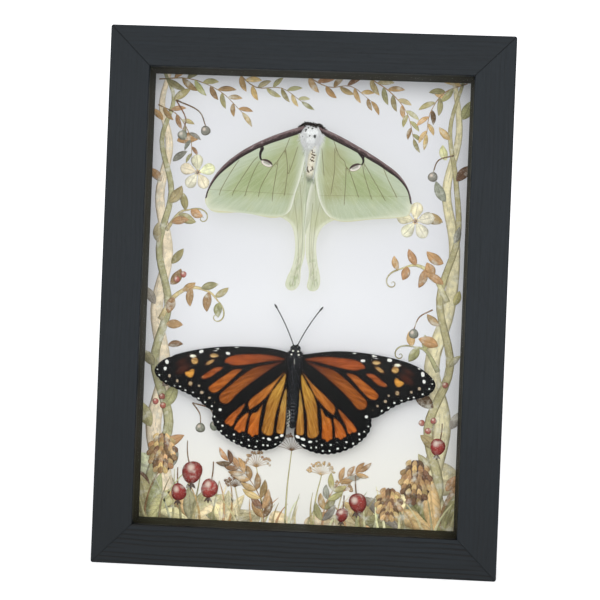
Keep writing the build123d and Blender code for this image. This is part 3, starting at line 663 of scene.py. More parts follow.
def lunaFields(name):
    fore, side = "fore" in name, -1 if "left" in name else 1
    margin = smoothLine(lunaMargins[name])

    def painted(base, *layers):  # one tone over another, each with its weight at every spot
        colour = np.tile(np.array(base), (len(layers[0][1]), 1))
        for over, weight in layers:
            share = np.clip(weight, 0, 1)[:, None]
            colour = colour * (1 - share) + np.array(over) * share
        return colour

    def fields(spots):
        x, z = spots[:, 0], spots[:, 1]
        out = side * (x - luna["bodyLine"])
        far = np.full(len(x), 9.0)
        rim = nearest(margin, spots)[0]
        gaps, _, sides = np.moveaxis([nearest(smoothLine(vein), spots) for vein in lunaVeins[name]], 1, 0)
        closest = gaps.argmin(0)[None]
        gaps, sides = np.take_along_axis(gaps, closest, 0)[0], np.take_along_axis(sides, closest, 0)[0]
        shared = {"rim": np.clip(rim, 0, 9), "vein": np.clip(gaps, 0, 2) * sides, "veinFar": soften(gaps, 0.6, 1.1)}
        if not fore:
            colour = painted(
                luna["root"], (luna["shoulder"], soften(z, 140, 133)), (luna["tail"], soften(z, 132, 125)),
                (luna["cream"], soften(rim, 1.9, 0.5) * soften(z, 136, 128) * 0.8),
                (luna["tip"], soften(z, 113, 108) * 0.8),
                (luna["low"], soften(abs(x + 0.9), 0.7, 0.2) * soften(z, 117, 121) * soften(z, 145, 136) * 0.9))
            inner = soften(out, 1.3, 0.1) * soften(z, 117, 124) * soften(z, 127, 138)
            return {**shared, "paint": colour, "band": -far, "eyeAlong": far, "eyeUp": far, "midLine": far,
                    "white": inner, "bandPlace": 0 * far, "ghost": 0 * far, "fore": 0 * far}
        edge = smoothLine(lunaBands[name])
        gap, along = nearest(edge, spots)[:2]
        share = along / np.linalg.norm(np.diff(edge, axis=0), axis=1).sum()
        width = 2.7 - 0.7 * soften(share, 0.15, 0.65) - 1.4 * soften(share, 0.65, 0.95)
        stem, (eyeX, eyeZ), tilt = lunaEyes[name]
        stemGap, stemAlong = nearest(smoothLine(stem), spots)[:2]
        band = np.maximum(width - gap, 0.62 - 0.07 * stemAlong - stemGap)
        turn = math.radians(tilt)
        eyeAlong = ((x - eyeX) * math.cos(turn) + (z - eyeZ) * math.sin(turn)) / eyeSize[0]
        eyeUp = ((z - eyeZ) * math.cos(turn) - (x - eyeX) * math.sin(turn)) / eyeSize[1]
        colour = painted(
            luna["mid"], (luna["upper"], soften(gap, 9, 3) * soften(out, 5, 10)),
            (luna["olive"], soften(out, 3, 6) * soften(out, 17, 9) * soften(z, 163, 158) * (0.9 if side > 0 else 0.5)),
            (luna["dark"], soften(np.hypot((out - 20) / 9, (z - 147) / 5.5), 1.1, 0.2) * 0.9),
            (luna["low"], soften(z, 142.8, 138) * soften(out, 3, 10) * 0.85),
            (luna["cream"], soften(rim, 4.0, 0.8) * soften(out, 24, 36) * 0.5),
            (luna["inner"], soften(out, 6.5, 3.5)), (luna["inner"], soften(rim, 3.4, 0.8) * soften(out, 10, 7) * 0.7))
        ghostX, ghostZ, ghostWide, ghostTall = lunaGhosts[name]
        ghost = abs(np.hypot((x - ghostX) / ghostWide, (z - ghostZ) / ghostTall) - 1)
        return {**shared, "paint": colour, "band": np.clip(band, -3, 3), "bandPlace": np.clip(gap / width, 0, 1.2),
                "eyeAlong": np.clip(eyeAlong, -9, 9), "eyeUp": np.clip(eyeUp, -9, 9),
                "midLine": np.clip(z - luna["midLine"] - out / 40, -2, 2),
                "white": np.maximum.reduce([
                    soften(np.hypot((x - 1.2) / 5.4, (z - 163.5) / 6.5), 1.0, 0.5) * 0.9,
                    soften(rim, 0.75, 0.15) * soften(out, 10, 7.5) * 0.7,
                    soften(abs(x - 1.1 - (z - 155) * 0.11), 3.6, 1.9) * soften(z, 145, 150) * 0.7]),
                "ghost": soften(ghost, 0.3, 0.05) * (0.3 + 0.7 * soften(z, ghostZ, ghostZ + 1)), "fore": 0 * far + 1}

    return fields


def lunaRelief(name, fields):
    def relief(spots):
        values = fields(spots)
        x, z = spots[:, 0], spots[:, 1]
        out = np.abs(x - luna["bodyLine"])
        arch = np.sin(np.pi * np.clip(values["bandPlace"], 0, 1)) ** 0.6
        dome = luna["bandRise"] * arch * soften(values["band"], -0.1, 0.25)
        veins = luna["veinRise"] * (1 - soften(abs(values["vein"]), 0.0, 0.5))
        eye = 0.12 * soften(np.hypot(values["eyeAlong"], values["eyeUp"]), 1.15, 0.8)
        sway = 0.5 * np.sin(out / 13) - 0.012 * out
        if "hind" in name:
            folds = 0.16 * np.sin((x + 0.08 * (z - 120)) * 2.3) * soften(out, 0, 1.5)
            return folds + 0.5 * np.sin((z - 104) / 15) * soften(z, 132, 118) + veins + sway * soften(z, 122, 140)
        ripple = 0.10 * np.sin(out * 1.15 + z * 0.1) * soften(values["rim"], 0, 6)
        return dome + veins + eye + sway + ripple
    return relief


lunaScales = Finish("lunaScales")
dust = lunaScales.noise(lunaScales.place, 3600, 3, 0.6)
patches = lunaScales.noise(lunaScales.place, 190, 3)
rayOut, rayTurn = lunaScales.mapped("ray")
silk = lunaScales.drawn((rayOut, rayTurn), (0.1, 0.9), 5, 0.6)
rim, vein, band, midLine, bandPlace, ghost, white = [
    lunaScales.attribute(key) for key in ("rim", "vein", "band", "midLine", "bandPlace", "ghost", "white")]
vein, midLine = abs(vein).most(lunaScales.attribute("veinFar") * 2), abs(midLine)
green = lunaScales.attribute("paint", "Color")
wingX, wingZ = lunaScales.axes()[::2]
smudges = lunaScales.drawn((wingX, wingZ), (1.3, 0.45), 3, 0.6)
tailEnd = wingZ.rise(124, 114)
green = lunaScales.mix(smudges.rise(0.5, 0.6) * tailEnd * 0.75, green, luna["mid"])
green = lunaScales.mix(patches.rise(0.42, 0.75) * 0.4, green, luna["light"])
green = lunaScales.mix((silk - 0.44) * 0.9, green, luna["cream"])
green = lunaScales.mix((0.5 - silk) * 0.7, green, luna["ghost"])
green = lunaScales.mix(rim.rise(1.6, 0.4) * 0.5, green, luna["cream"])
green = lunaScales.mix(ghost * 0.4, green, luna["ghost"])
isFore = lunaScales.attribute("fore")
veinMark = vein.rise(0.22, 0.05) * (patches * 0.6 + 0.5) * (isFore * 0.5 + 0.5)
lineMark = midLine.rise(0.18, 0.04) * (patches * 0.6 + 0.02) * isFore
crossing = vein.rise(0.42, 0.12) * midLine.rise(0.55, 0.15) * 0.45
green = lunaScales.mix(veinMark.most(lineMark).most(crossing), green, luna["vein"])
green = lunaScales.mix(rim.rise(0.36, 0.1) * (isFore * 0.45 + 0.2), green, luna["edge"])
green = lunaScales.mix(white * (silk * 0.3 + 0.8), green, luna["white"])
fineStreaks = lunaScales.drawn((rayOut, bandPlace), (0.2, 3.4), 4, 0.7)
bandColour = lunaScales.ramp(bandPlace + (fineStreaks - 0.5) * 1.3, [
    (0.0, tone(72, 54, 56)), (0.1, tone(132, 114, 114)), (0.28, tone(112, 92, 93)), (0.46, tone(76, 58, 58)),
    (0.66, tone(52, 40, 40)), (1.0, tone(34, 25, 24))])
bandFlecks = lunaScales.drawn((rayOut, bandPlace), (0.55, 3.2), 3, 0.6).rise(0.55, 0.72)
bandColour = lunaScales.mix(bandFlecks * bandPlace.rise(0.75, 0.4) * 0.7, bandColour, tone(172, 156, 156))
lunaColour = lunaScales.mix((band + (dust - 0.5) * 0.12).rise(-0.12, 0.06), green, bandColour)
eyeAlong, eyeUp = lunaScales.attribute("eyeAlong"), lunaScales.attribute("eyeUp")
fromEye = lunaScales.length(eyeAlong, eyeUp)
insideEye = fromEye.rise(1.08, 0.98)
upper = (eyeUp * 1.2 + eyeAlong * eyeAlong * 0.5).rise(0.3, 0.6)
pearl = lunaScales.mix(eyeUp.rise(0.35, -0.1), tone(140, 132, 124), tone(206, 202, 192))
lunaColour = lunaScales.mix(insideEye, lunaColour, pearl)
lunaColour = lunaScales.mix(insideEye * fromEye.rise(0.55, 0.85) * (1 - upper), lunaColour, tone(226, 216, 208))
lunaColour = lunaScales.mix(insideEye * upper, lunaColour, tone(64, 48, 46))
slit = abs(eyeUp + 0.12).rise(0.3, 0.14) * abs(eyeAlong).rise(0.7, 0.45) * 0.7
lunaColour = lunaScales.mix(insideEye * slit, lunaColour, tone(140, 138, 128))
lunaColour = lunaScales.mix(abs(fromEye - 1.04).rise(0.1, 0.04) * (1 - upper) * 0.6, lunaColour, tone(104, 82, 70))
lunaScales.matt(lunaColour, dust, rough=0.72, spread=0.3, strength=0.4, depth=0.04, height=dust * 0.5 + silk * 0.6)

for node in lunaMargins:
    cut = flatWing(node, luna["cell"])
    gridCut(cut, luna["cell"])
    fields = lunaFields(node)
    wing = wingPiece(node, cut, luna["thickness"], lunaRelief(node, fields), fields,
                     (luna["bodyLine"], luna["wingRoot"]), lunaScales.material, "wing_pale_green")
    wing.visible_shadow = False  # such thin pale wings let the light through

foldLines = {  # the pale fold between the tails: at these heights its left edge, its crest and its right edge
    "heights": (121, 126, 129, 132, 136, 139, 143.5, 148.2),
    "left": (-0.85, -0.95, -0.9, -0.8, -0.7, -0.7, -0.6, -0.3),
    "crest": (-0.8, -0.8, -0.65, -0.5, -0.3, -0.15, 0.6, 1.9),
    "right": (-0.7, -0.3, 0.3, 1.2, 2.7, 2.9, 2.8, 2.4),
    "sides": -2.65, "front": -3.3, "crestAt": 0.35, "thickness": 0.12,  # depths of its sides and of its crest
}
fold = bmesh.new()
bmesh.ops.create_grid(fold, x_segments=10, y_segments=70, size=1)
heights = foldLines["heights"]
for vert in fold.verts:
    share = (vert.co.x + 1) / 2
    height = heights[0] + (heights[-1] - heights[0]) * (vert.co.y + 1) / 2
    left, crest, right = [float(np.interp(height, heights, foldLines[line])) for line in ("left", "crest", "right")]
    across = float(np.interp(share, (0, foldLines["crestAt"], 1), (left, crest, right)))
    ridge = soften(share, 0, foldLines["crestAt"]) * soften(share, 1, foldLines["crestAt"])
    lift = float(ridge * (0.2 + 0.8 * soften(height, 127, 140)))
    vert.co = Vector((across, foldLines["sides"] + (foldLines["front"] - foldLines["sides"]) * lift, height)) * mm
bmesh.ops.solidify(fold, geom=fold.faces[:], thickness=foldLines["thickness"] * mm)
bmesh.ops.recalc_face_normals(fold, faces=fold.faces)
foldMesh = bpy.data.meshes.new("luna_tail_fold")
fold.to_mesh(foldMesh)
fold.free()
foldSpots = spotsOf(foldMesh)
keep(foldMesh, "past", foldSpots[:, 0] - np.interp(foldSpots[:, 1], heights, foldLines["crest"]))
foldFinish = Finish("lunaFold")
foldX, foldY, foldZ = foldFinish.axes()
foldSilk = foldFinish.drawn((foldX, foldY, foldZ), (3.0, 0.0, 0.25), 4, 0.6)
past = foldFinish.attribute("past")
shaded = past.rise(0.2, 1.6).most(past.rise(0.05, 0.4) * foldZ.rise(140, 132))
foldColour = foldFinish.mix(shaded, tone(212, 212, 197), tone(186, 189, 165))
foldColour = foldFinish.mix((foldSilk - 0.4) * 1.2, foldColour, tone(200, 202, 182))
foldShadow = foldFinish.mix(foldSilk, tone(156, 164, 138), tone(192, 197, 172))
foldColour = foldFinish.mix(past.rise(0.0, -0.2), foldColour, foldShadow)
# painted shadow under the abdomen's tip: the top of the fold darker
foldColour = foldFinish.mix(foldZ.rise(145.5, 148), foldColour, tone(138, 146, 126))
foldFinish.matt(foldColour, foldSilk, rough=0.72, spread=0.3, strength=0.4, depth=0.04)
place("luna_tail_fold", foldMesh, foldFinish.material, "wing_pale_green", smooth=60).visible_shadow = False
print("luna wings finished")


insectDepth = -2.65  # the middle plane of both insects


def eggs(*rows, depth=insectDepth):  # (across, up, half width, half depth, half height) as centres and half sizes
    return [((across, depth, up), half) for across, up, *half in rows]


def egg(made, centre, size, roundness=4):  # centre and half sizes across, deep and up
    new = bmesh.ops.create_icosphere(made, subdivisions=roundness, radius=mm)["verts"]
    bmesh.ops.scale(made, verts=new, vec=size)
    bmesh.ops.translate(made, verts=new, vec=Vector(centre) * mm)
    return new


def hair(made, root, direction, length, width, sides=3):  # one tapered hair
    aim = Vector(direction).normalized()
    spot = (Vector(root) + aim * length / 2) * mm
    bmesh.ops.create_cone(made, cap_ends=True, segments=sides, radius1=width * mm, radius2=0, depth=length * mm,
                          matrix=Matrix.Translation(spot) @ aim.to_track_quat("Z", "Y").to_matrix().to_4x4())


def coatOfHair(made, centre, size, count, length, width, lay, lean, seed):  # hairs over an egg, leaning along lay
    chance = random.Random(seed)
    for _ in range(count):
        up, turn = chance.uniform(-0.95, 0.95), chance.uniform(0, 2 * math.pi)
        girth = math.sqrt(1 - up * up)
        normal = Vector((girth * math.cos(turn), -abs(girth * math.sin(turn)) + 0.12, up))
        root = Vector(centre) + Vector([n * s * 0.93 for n, s in zip(normal, size)])
        wild = Vector([chance.uniform(-0.35, 0.35) for _ in range(3)])
        long, wide = length * chance.uniform(0.6, 1.2), width * chance.uniform(0.7, 1.3)
        hair(made, root, normal + Vector(lay) * lean + wild, long, wide)


def turnedBody(line, profile, rings, pinch):  # a body spun about an upright line; profile is (radius, height)
    made = bmesh.new()
    course = smoothLine(profile, 8)
    low, high = course[:, 1].min(), course[:, 1].max()
    edge = []
    for radius, height in course:
        share = (high - height) / (high - low)
        waist = 1 - pinch * max(0.0, math.cos(2 * math.pi * share * rings)) ** 6
        edge.append(made.verts.new(((line + max(radius, 0) * waist) * mm, insectDepth * mm, height * mm)))
    strands = [made.edges.new(pair) for pair in zip(edge, edge[1:])]
    bmesh.ops.spin(made, geom=edge + strands, cent=(line * mm, insectDepth * mm, 0), axis=(0, 0, 1), angle=2 * math.pi,
                   steps=32, use_merge=True)
    bmesh.ops.remove_doubles(made, verts=made.verts, dist=0.004 * mm)
    bmesh.ops.recalc_face_normals(made, faces=made.faces)
    return made


def nearSpots(finish, x, z, spots, soft=0.35):  # how much each place lies in one of some round spots
    marks = 0.0
    for spotX, spotZ, radius in spots:
        gap = finish.length(x - spotX, z - spotZ)
        marks = gap.rise(radius * (1 + soft), radius * (1 - soft)).most(marks)
    return marks


lunaBody = {
    "thorax": eggs((0.7, 165.5, 3.2, 2.2, 2.7), (0.6, 163.0, 2.4, 2.2, 2.6), (0.75, 160.9, 1.5, 2.0, 2.2)),
    "hairs": 760, "hairLength": 1.5, "hairWidth": 0.09,
    "head": eggs((-3.5, 168.0, .9, .8, .5), (-2.6, 168.7, .85, .9, .6), (-1.6, 169.3, .85, 1.0, .6),
                 (-.4, 169.3, .95, 1.2, .55), (.8, 169.0, .9, 1.3, .7), (1.9, 168.5, .8, 1.6, 1.0),
                 (3.1, 168.9, .9, 1.2, .55), (4.0, 168.5, .7, 1.1, .6), (4.9, 167.7, .75, 1.0, .5),
                 (5.6, 167.1, .7, .8, .42)),
    "specks": [(-1.5, 166.8, .4), (-1.6, 166.2, .25), (-.6, 167.6, .3), (.9, 167.3, .34), (0, 164.4, .24),
               (1.95, 164.4, .5), (2.0, 163.9, .35), (-2.7, 164.2, .18)],
    "abdomen": [(0, 161.8), (1.1, 161.4), (1.6, 160), (1.7, 157), (1.6, 153.6), (1.4, 150.6), (.9, 148.4), (0, 147.4)],
    "line": 1.2,
    "marks": [(1.1, 158.9, .34), (1.5, 158.3, .36), (2.1, 158.2, .3), (1.2, 157.5, .36), (1.8, 157.2, .32),
              (2.3, 157.1, .3), (1.3, 156.4, .36), (1.9, 156.1, .3), (.7, 155.6, .3), (1.2, 155.1, .36),
              (1.8, 154.9, .3), (-.5, 152.6, .36), (-.6, 151.9, .36), (-.2, 151.2, .38), (.2, 150.7, .3),
              (1.4, 152.6, .3), (1.6, 151.9, .36), (1.0, 151.4, .3)],
    "lean": 6.5,
}

fluff = Finish("lunaFluff")
fluffX, fluffY, fluffZ = fluff.axes()
tufts = fluff.drawn((fluffX, fluffY, fluffZ), (2.2, 2.2, 1.3), 4, 0.6)
fluffColour = fluff.mix(tufts.rise(0.36, 0.62), tone(222, 222, 222), tone(247, 247, 248))
specks = nearSpots(fluff, fluffX + (tufts - 0.5) * 0.8, fluffZ + (tufts - 0.5) * 0.6, lunaBody["specks"])
fluffColour = fluff.mix(fluffZ.rise(161, 156) * 0.6, fluffColour, tone(236, 242, 228))
fluffColour = fluff.mix(specks * 0.95, fluffColour, tone(50, 52, 46))
fluff.matt(fluffColour, tufts, rough=0.8, spread=0.2, strength=0.3, depth=0.05)

thorax = bmesh.new()
for number, shape in enumerate(lunaBody["thorax"]):
    egg(thorax, *shape)
    coatOfHair(thorax, *shape, lunaBody["hairs"], lunaBody["hairLength"], lunaBody["hairWidth"], (0, 0.1, -1), 0.9,
               11 + 20 * number)
chance = random.Random(15)
for side in (-1, 1):  # long hair that spreads from the shoulders over the wings' roots
    for _ in range(190):
        height = chance.uniform(158.5, 165.6)
        out = chance.uniform(1.2, 4.4) * (0.45 + 0.55 * float(soften(height, 158, 165)))
        root = (luna["bodyLine"] + 0.1 + side * out, -3.7 - 0.9 * chance.random() * (1 - out / 5), height)
        fall = 0.5 + 0.8 * float(soften(height, 167, 159)) + chance.uniform(-0.3, 0.4)
        hair(thorax, root, (side * chance.uniform(0.5, 1.3), 0.14, -fall), chance.uniform(1.3, 2.8), 0.085)
finished("luna_thorax_fur", thorax, fluff.material, "insect_body_white", ["luna_thorax"], smooth=80)

collar = Finish("lunaCollar")
collarTufts = collar.drawn(collar.axes(), (1.5, 1.5, 1.5), 4, 0.6)
collarColour = collar.mix(collarTufts.rise(0.4, 0.66) * 0.8, tone(18, 15, 13), tone(64, 54, 50))
collar.matt(collarColour, collarTufts, rough=0.75, spread=0.2, strength=0.4, depth=0.05)
head = bmesh.new()
for number, shape in enumerate(lunaBody["head"]):
    egg(head, *shape, 3)
    coatOfHair(head, *shape, 90, 0.6, 0.09, (0, 0, -0.2), 0.5, 61 + number)
finished("luna_head_fur", head, collar.material, "insect_body_dark", ["luna_head"], smooth=80)

tan = Finish("lunaAbdomen")
tanX, tanY, tanZ = tan.axes()
tanTufts = tan.drawn((tanX, tanY, tanZ), (1.6, 1.6, 2.6), 4, 0.65)
tanColour = tan.ramp(tanTufts, [(0.3, tone(196, 182, 154)), (0.5, tone(226, 218, 200)), (0.7, tone(238, 236, 228))])
tanColour = tan.mix(abs(tanX - 0.85 - (tanZ - 155) * 0.11).rise(1.0, 1.7) * 0.7, tanColour, tone(222, 222, 208))
tanMarks = nearSpots(tan, tanX + (tanTufts - 0.5) * 0.6, tanZ + (tanTufts - 0.5) * 0.4, lunaBody["marks"], 0.25)
tanColour = tan.mix(tanMarks, tanColour, tone(78, 62, 44))
tanColour = tan.mix(tanZ.rise(150.5, 148.2) * 0.8, tanColour, tone(150, 158, 140))
tan.matt(tanColour, tanTufts, rough=0.8, spread=0.2, strength=0.5, depth=0.08)
abdomen = turnedBody(lunaBody["line"], lunaBody["abdomen"], 8, 0.08)
chance = random.Random(13)
for _ in range(380):
    height, turn = chance.uniform(147.8, 161), chance.uniform(math.pi, 2 * math.pi)
    width = 1.4 * math.sin(math.pi * min(1, (height - 146.2) / 15 * 0.62 + 0.12))
    root = (lunaBody["line"] + width * math.cos(turn), insectDepth + width * math.sin(turn), height)
    hair(abdomen, root, (math.cos(turn) * 0.25, math.sin(turn) * 0.25, -1), chance.uniform(0.8, 1.5), 0.08)
bmesh.ops.rotate(abdomen, verts=abdomen.verts, cent=Vector((lunaBody["line"], insectDepth, 155)) * mm,
                 matrix=Matrix.Rotation(math.radians(lunaBody["lean"]), 3, "Y"))
finished("luna_abdomen_fur", abdomen, tan.material, "insect_body_tan", ["luna_abdomen"], smooth=60)

fringe = bmesh.new()  # thin white hair down both sides of the abdomen
chance = random.Random(14)
fringeRows = {  # each side's course and how thick it grows
    -1: ([(-0.7, 160.5), (-0.8, 157.5), (-1.2, 154), (-1.8, 150.5), (-2.3, 147.5)], 1.8),
    1: ([(3.0, 161), (2.9, 158), (2.5, 154), (2.1, 150), (1.8, 147.5)], 1.5),
}
for side, (rows, thick) in fringeRows.items():
    for spotX, spotZ in smoothLine(rows, 45):
        left = 1 - float(soften(spotZ, 158, 147.5)) * 0.85
        for _ in range(int(thick * left + chance.random())):
            across = chance.uniform(-0.9, 0.9) * (0.4 + 0.6 * left)
            root = (spotX + across, -3.2 - chance.uniform(0, 0.5) * (1 - abs(across)), spotZ + chance.uniform(-1, 1))
            fall = (side * chance.uniform(-0.1, 0.35), chance.uniform(-0.05, 0.1), -1)
            hair(fringe, root, fall, chance.uniform(1.2, 3.0), 0.045)
finished("luna_fringe", fringe, fluff.material, "insect_body_white", smooth=80)

monarchBody = {
    "thorax": eggs((-2.3, 77.9, 2.95, 2.6, 4.7))[0], "head": eggs((-2.25, 82.6, 1.95, 1.5, 1.9))[0],
    "shoulders": eggs((-4.15, 80.3, 1.15, 1.5, 2.0), (-0.35, 80.2, 1.1, 1.5, 1.9)),
    "eyes": (eggs((-3.45, 83.3, .75, .9, .85), (-1.05, 83.3, .75, .9, .85), depth=-3.2)
             + eggs((-1.55, 84.3, .5, .6, .55), (-3.0, 84.1, .5, .6, .5), depth=-2.9)),
    "abdomen": [(0, 76.2), (1.8, 76), (2.2, 73), (2.25, 69), (2.25, 62), (2.05, 58), (1.7, 55.2), (1.0, 53),
                (0, 52.4)],
    "line": -2.35, "rings": 9, "ringPitch": 1.35, "stripe": (-2.38, 78.3), "neck": 81.2,
    "whiteSpots": [(-3.1, 82.3, .44), (-1.15, 82.15, .4), (-3.65, 80.95, .4), (-.9, 80.85, .44)],
    "faintSpots": [(-3.9, 79.9, .3), (-.5, 79.8, .3), (-3.0, 83.9, .22), (-1.5, 84.0, .22), (-3.9, 82.9, .16),
                   (-.7, 82.9, .16)],
}
velvet = Finish("monarchVelvet")
velvetX, velvetY, velvetZ = velvet.axes()
nap = velvet.drawn((velvetX, velvetY, velvetZ), (2.4, 2.4, 1.6), 4, 0.65)
flecks = velvet.drawn((velvetX, velvetY, velvetZ), (2.3, 2.3, 1.5), 2, 0.5).rise(0.52, 0.66)
besideLine = abs(abs(velvetX - monarchBody["line"]) - 0.45).rise(0.42, 0.15)
ringMarks = (velvetZ * (2 * math.pi / monarchBody["ringPitch"])).sine().rise(0.35, 0.8) * besideLine
ringMarks = ringMarks * velvetZ.rise(66, 61) * velvetZ.rise(54.6, 56)
faint = nearSpots(velvet, velvetX, velvetZ, monarchBody["faintSpots"])
stripeX, stripeZ = monarchBody["stripe"]
stripe = abs(velvetX - stripeX + (nap - 0.5) * 0.2).rise(0.2, 0.08) * abs(velvetZ - stripeZ).rise(1.3, 0.9)
velvetColour = velvet.mix(nap.rise(0.42, 0.7) * 0.8, tone(8, 8, 9), tone(24, 25, 29))
velvetColour = velvet.mix(flecks * 0.7, velvetColour, tone(64, 67, 74))
velvetColour = velvet.mix(ringMarks * 0.55 * nap.rise(0.3, 0.55), velvetColour, tone(120, 124, 132))
velvetColour = velvet.mix(stripe * 0.75, velvetColour, tone(170, 168, 160))
velvetColour = velvet.mix(faint * 0.6, velvetColour, tone(110, 110, 106))
velvet.matt(velvetColour, nap, rough=0.7, spread=0.3, strength=0.5, depth=0.08, shine=0.1)

thorax = bmesh.new()
egg(thorax, *monarchBody["thorax"])
coatOfHair(thorax, *monarchBody["thorax"], 800, 1.0, 0.06, (0, 0, -1), 1.0, 21)
for number, (centre, half) in enumerate(monarchBody["shoulders"]):
    egg(thorax, centre, half, 3)
    coatOfHair(thorax, centre, half, 240, 0.8, 0.055, (0, 0, -1), 0.9, 24 + number)
finished("monarch_thorax_fur", thorax, velvet.material, "insect_body_black", ["monarch_thorax"], smooth=80)

head = bmesh.new()
egg(head, *monarchBody["head"])
coatOfHair(head, *monarchBody["head"], 420, 0.6, 0.05, (0, -0.1, 0.5), 0.6, 22)
for eyeCentre, eyeHalf in monarchBody["eyes"]:
    egg(head, eyeCentre, eyeHalf, 3)
finished("monarch_head_fur", head, velvet.material, "insect_body_black", ["monarch_head"], smooth=80)

abdomen = turnedBody(monarchBody["line"], monarchBody["abdomen"], monarchBody["rings"], 0.12)
chance = random.Random(23)
for _ in range(420):
    height, turn = chance.uniform(54, 75), chance.uniform(math.pi, 2 * math.pi)
    girth = 1.9 - 0.5 * float(soften(height, 60, 54))
    root = (monarchBody["line"] + girth * math.cos(turn), insectDepth + girth * math.sin(turn), height)
    hair(abdomen, root, (math.cos(turn) * 0.5, math.sin(turn) * 0.5, -1), chance.uniform(0.6, 1.1), 0.05)
for _ in range(120):  # a dark fringe that closes the gap at the lower left
    height = chance.uniform(53.5, 66)
    root = (monarchBody["line"] - 1.7 - 0.7 * chance.random(), insectDepth + chance.uniform(-0.6, 0.6), height)
    hair(abdomen, root, (chance.uniform(-0.1, 0.25), 0, -1), chance.uniform(1.0, 1.8), 0.09)
finished("monarch_abdomen_fur", abdomen, velvet.material, "insect_body_black", ["monarch_abdomen"], smooth=50)

chalk = Finish("whiteScales")
chalkGrain = chalk.noise(chalk.place, 2600, 3)
chalk.matt(chalk.mix(chalkGrain, tone(214, 210, 194), tone(246, 244, 236)), chalkGrain,
           rough=0.8, spread=0.2, strength=0.4, depth=0.04, shine=0.5)
dabs = bmesh.new()  # domes of white scales on the monarch's head and shoulders
for spotX, spotZ, radius in monarchBody["whiteSpots"]:
    centre, half = monarchBody["head" if spotZ > monarchBody["neck"] else "thorax"]
    bulge = 1 - ((spotX - centre[0]) / half[0]) ** 2 - ((spotZ - centre[2]) / half[2]) ** 2
    egg(dabs, (spotX, centre[1] - half[1] * math.sqrt(max(bulge, 0.04)) - 0.18, spotZ), (radius, 0.3, radius * 0.9), 2)
chance = random.Random(27)
for number in range(11):  # loose white scales low on the abdomen's left side
    out, front, lean = ((1.9, 1.2, 0.5), (1.1, 2.1, -0.35))[number % 2]
    root = (monarchBody["line"] - out - chance.uniform(-0.15, 0.15), insectDepth - front, 53.2 + 0.62 * number)
    hair(dabs, root, (lean + chance.uniform(-0.2, 0.2), -0.1, 1), chance.uniform(0.9, 1.4), 0.2)
finished("monarch_white_spots", dabs, chalk.material, "insect_body_white", smooth=80)

feelers = Finish("monarchFeelers")
feelerBands = (feelers.axes()[2] * (2 * math.pi / 0.6)).sine()
feelers.matt(feelers.mix(feelerBands.rise(0.2, 0.9) * 0.4, tone(18, 17, 18), tone(52, 48, 48)), feelerBands,
             rough=0.65, spread=0.1, strength=0.3, depth=0.03, shine=0.5)
dress(["monarch_antenna_left", "monarch_antenna_right"], feelers.material)
print("bodies finished")


# The printed border: vines, sprays, hips and cones of no particular plant, laid out for this case
ink = {
    "step": 0.016, "film": 0.012, "halfWidth": 62.5, "ground": 13.5, "top": 189.4,
    "olive": (158, 150, 108), "moss": (186, 178, 134), "pale": (212, 207, 170), "straw": (216, 205, 160),
    "ochre": (194, 164, 116), "tan": (168, 134, 94), "umber": (120, 92, 68), "dark": (86, 68, 60),
    "grey": (140, 138, 124), "red": (148, 60, 54), "rose": (178, 104, 92), "cream": (226, 222, 190),
}
printed = []  # circles that already have something printed on them: x, z, radius, layer


def drawing():
    made = bmesh.new()
    made.loops.layers.uv.new("shape")
    made.verts.layers.float_color.new("tint")
    return made


stems, leaves, fruit = drawing(), drawing(), drawing()


def layerOver(course, radii):  # each shape lies one step nearer than what it covers
    top = 0
    if printed:
        old = np.array(printed)
        for (x, z), radius in zip(course, radii):
            under = np.hypot(old[:, 0] - x, old[:, 1] - z) < old[:, 2] + radius
            top = max(top, old[under, 3].max() if under.any() else 0)
    printed.extend((x, z, radius, top + 1) for (x, z), radius in zip(course, radii))
    return caseSizes["printFace"] - (top + 1) * ink["step"]


def onPaper(x, z, depth):  # a place on the sheet, held inside its edges
    x = min(max(x, -ink["halfWidth"]), ink["halfWidth"])
    return Vector((x, depth, min(max(z, ink["ground"]), ink["top"]))) * mm


def inked(made, new, places, tint, spread, chance):  # sets the tint and the shape's own coordinates on new vertices
    shade = chance.uniform(1 - spread, 1 + spread)
    colour = tone(*[min(255, c * shade * chance.uniform(0.97, 1.03)) for c in ink[tint]])
    tintLayer, shapeLayer = made.verts.layers.float_color["tint"], made.loops.layers.uv["shape"]
    for vert in new:
        vert[tintLayer] = colour
    for face in {f for v in new for f in v.link_faces}:
        for loop in face.loops:
            loop[shapeLayer].uv = places[loop.vert]


def strip(made, spine, width, tint, chance, across=2, steps=4, spread=0.1):  # a leaf, stem or petal along a line
    course = smoothLine(spine, steps)
    count = len(course) - 1
    slopes = np.gradient(course, axis=0)
    slopes /= np.linalg.norm(slopes, axis=1)[:, None]
    halves = [max(width(i / count), 0.05) for i in range(count + 1)]
    depth = layerOver(course, halves)
    new = bmesh.ops.create_grid(made, x_segments=count, y_segments=across, size=1)["verts"]
    places = {}
    for vert in new:
        along, side = (vert.co.x + 1) / 2, vert.co.y
        i = round(along * count)
        places[vert] = (along, side)
        x = course[i][0] - slopes[i][1] * halves[i] * side
        z = course[i][1] + slopes[i][0] * halves[i] * side
        vert.co = onPaper(x, z, depth)
    inked(made, new, places, tint, spread, chance)


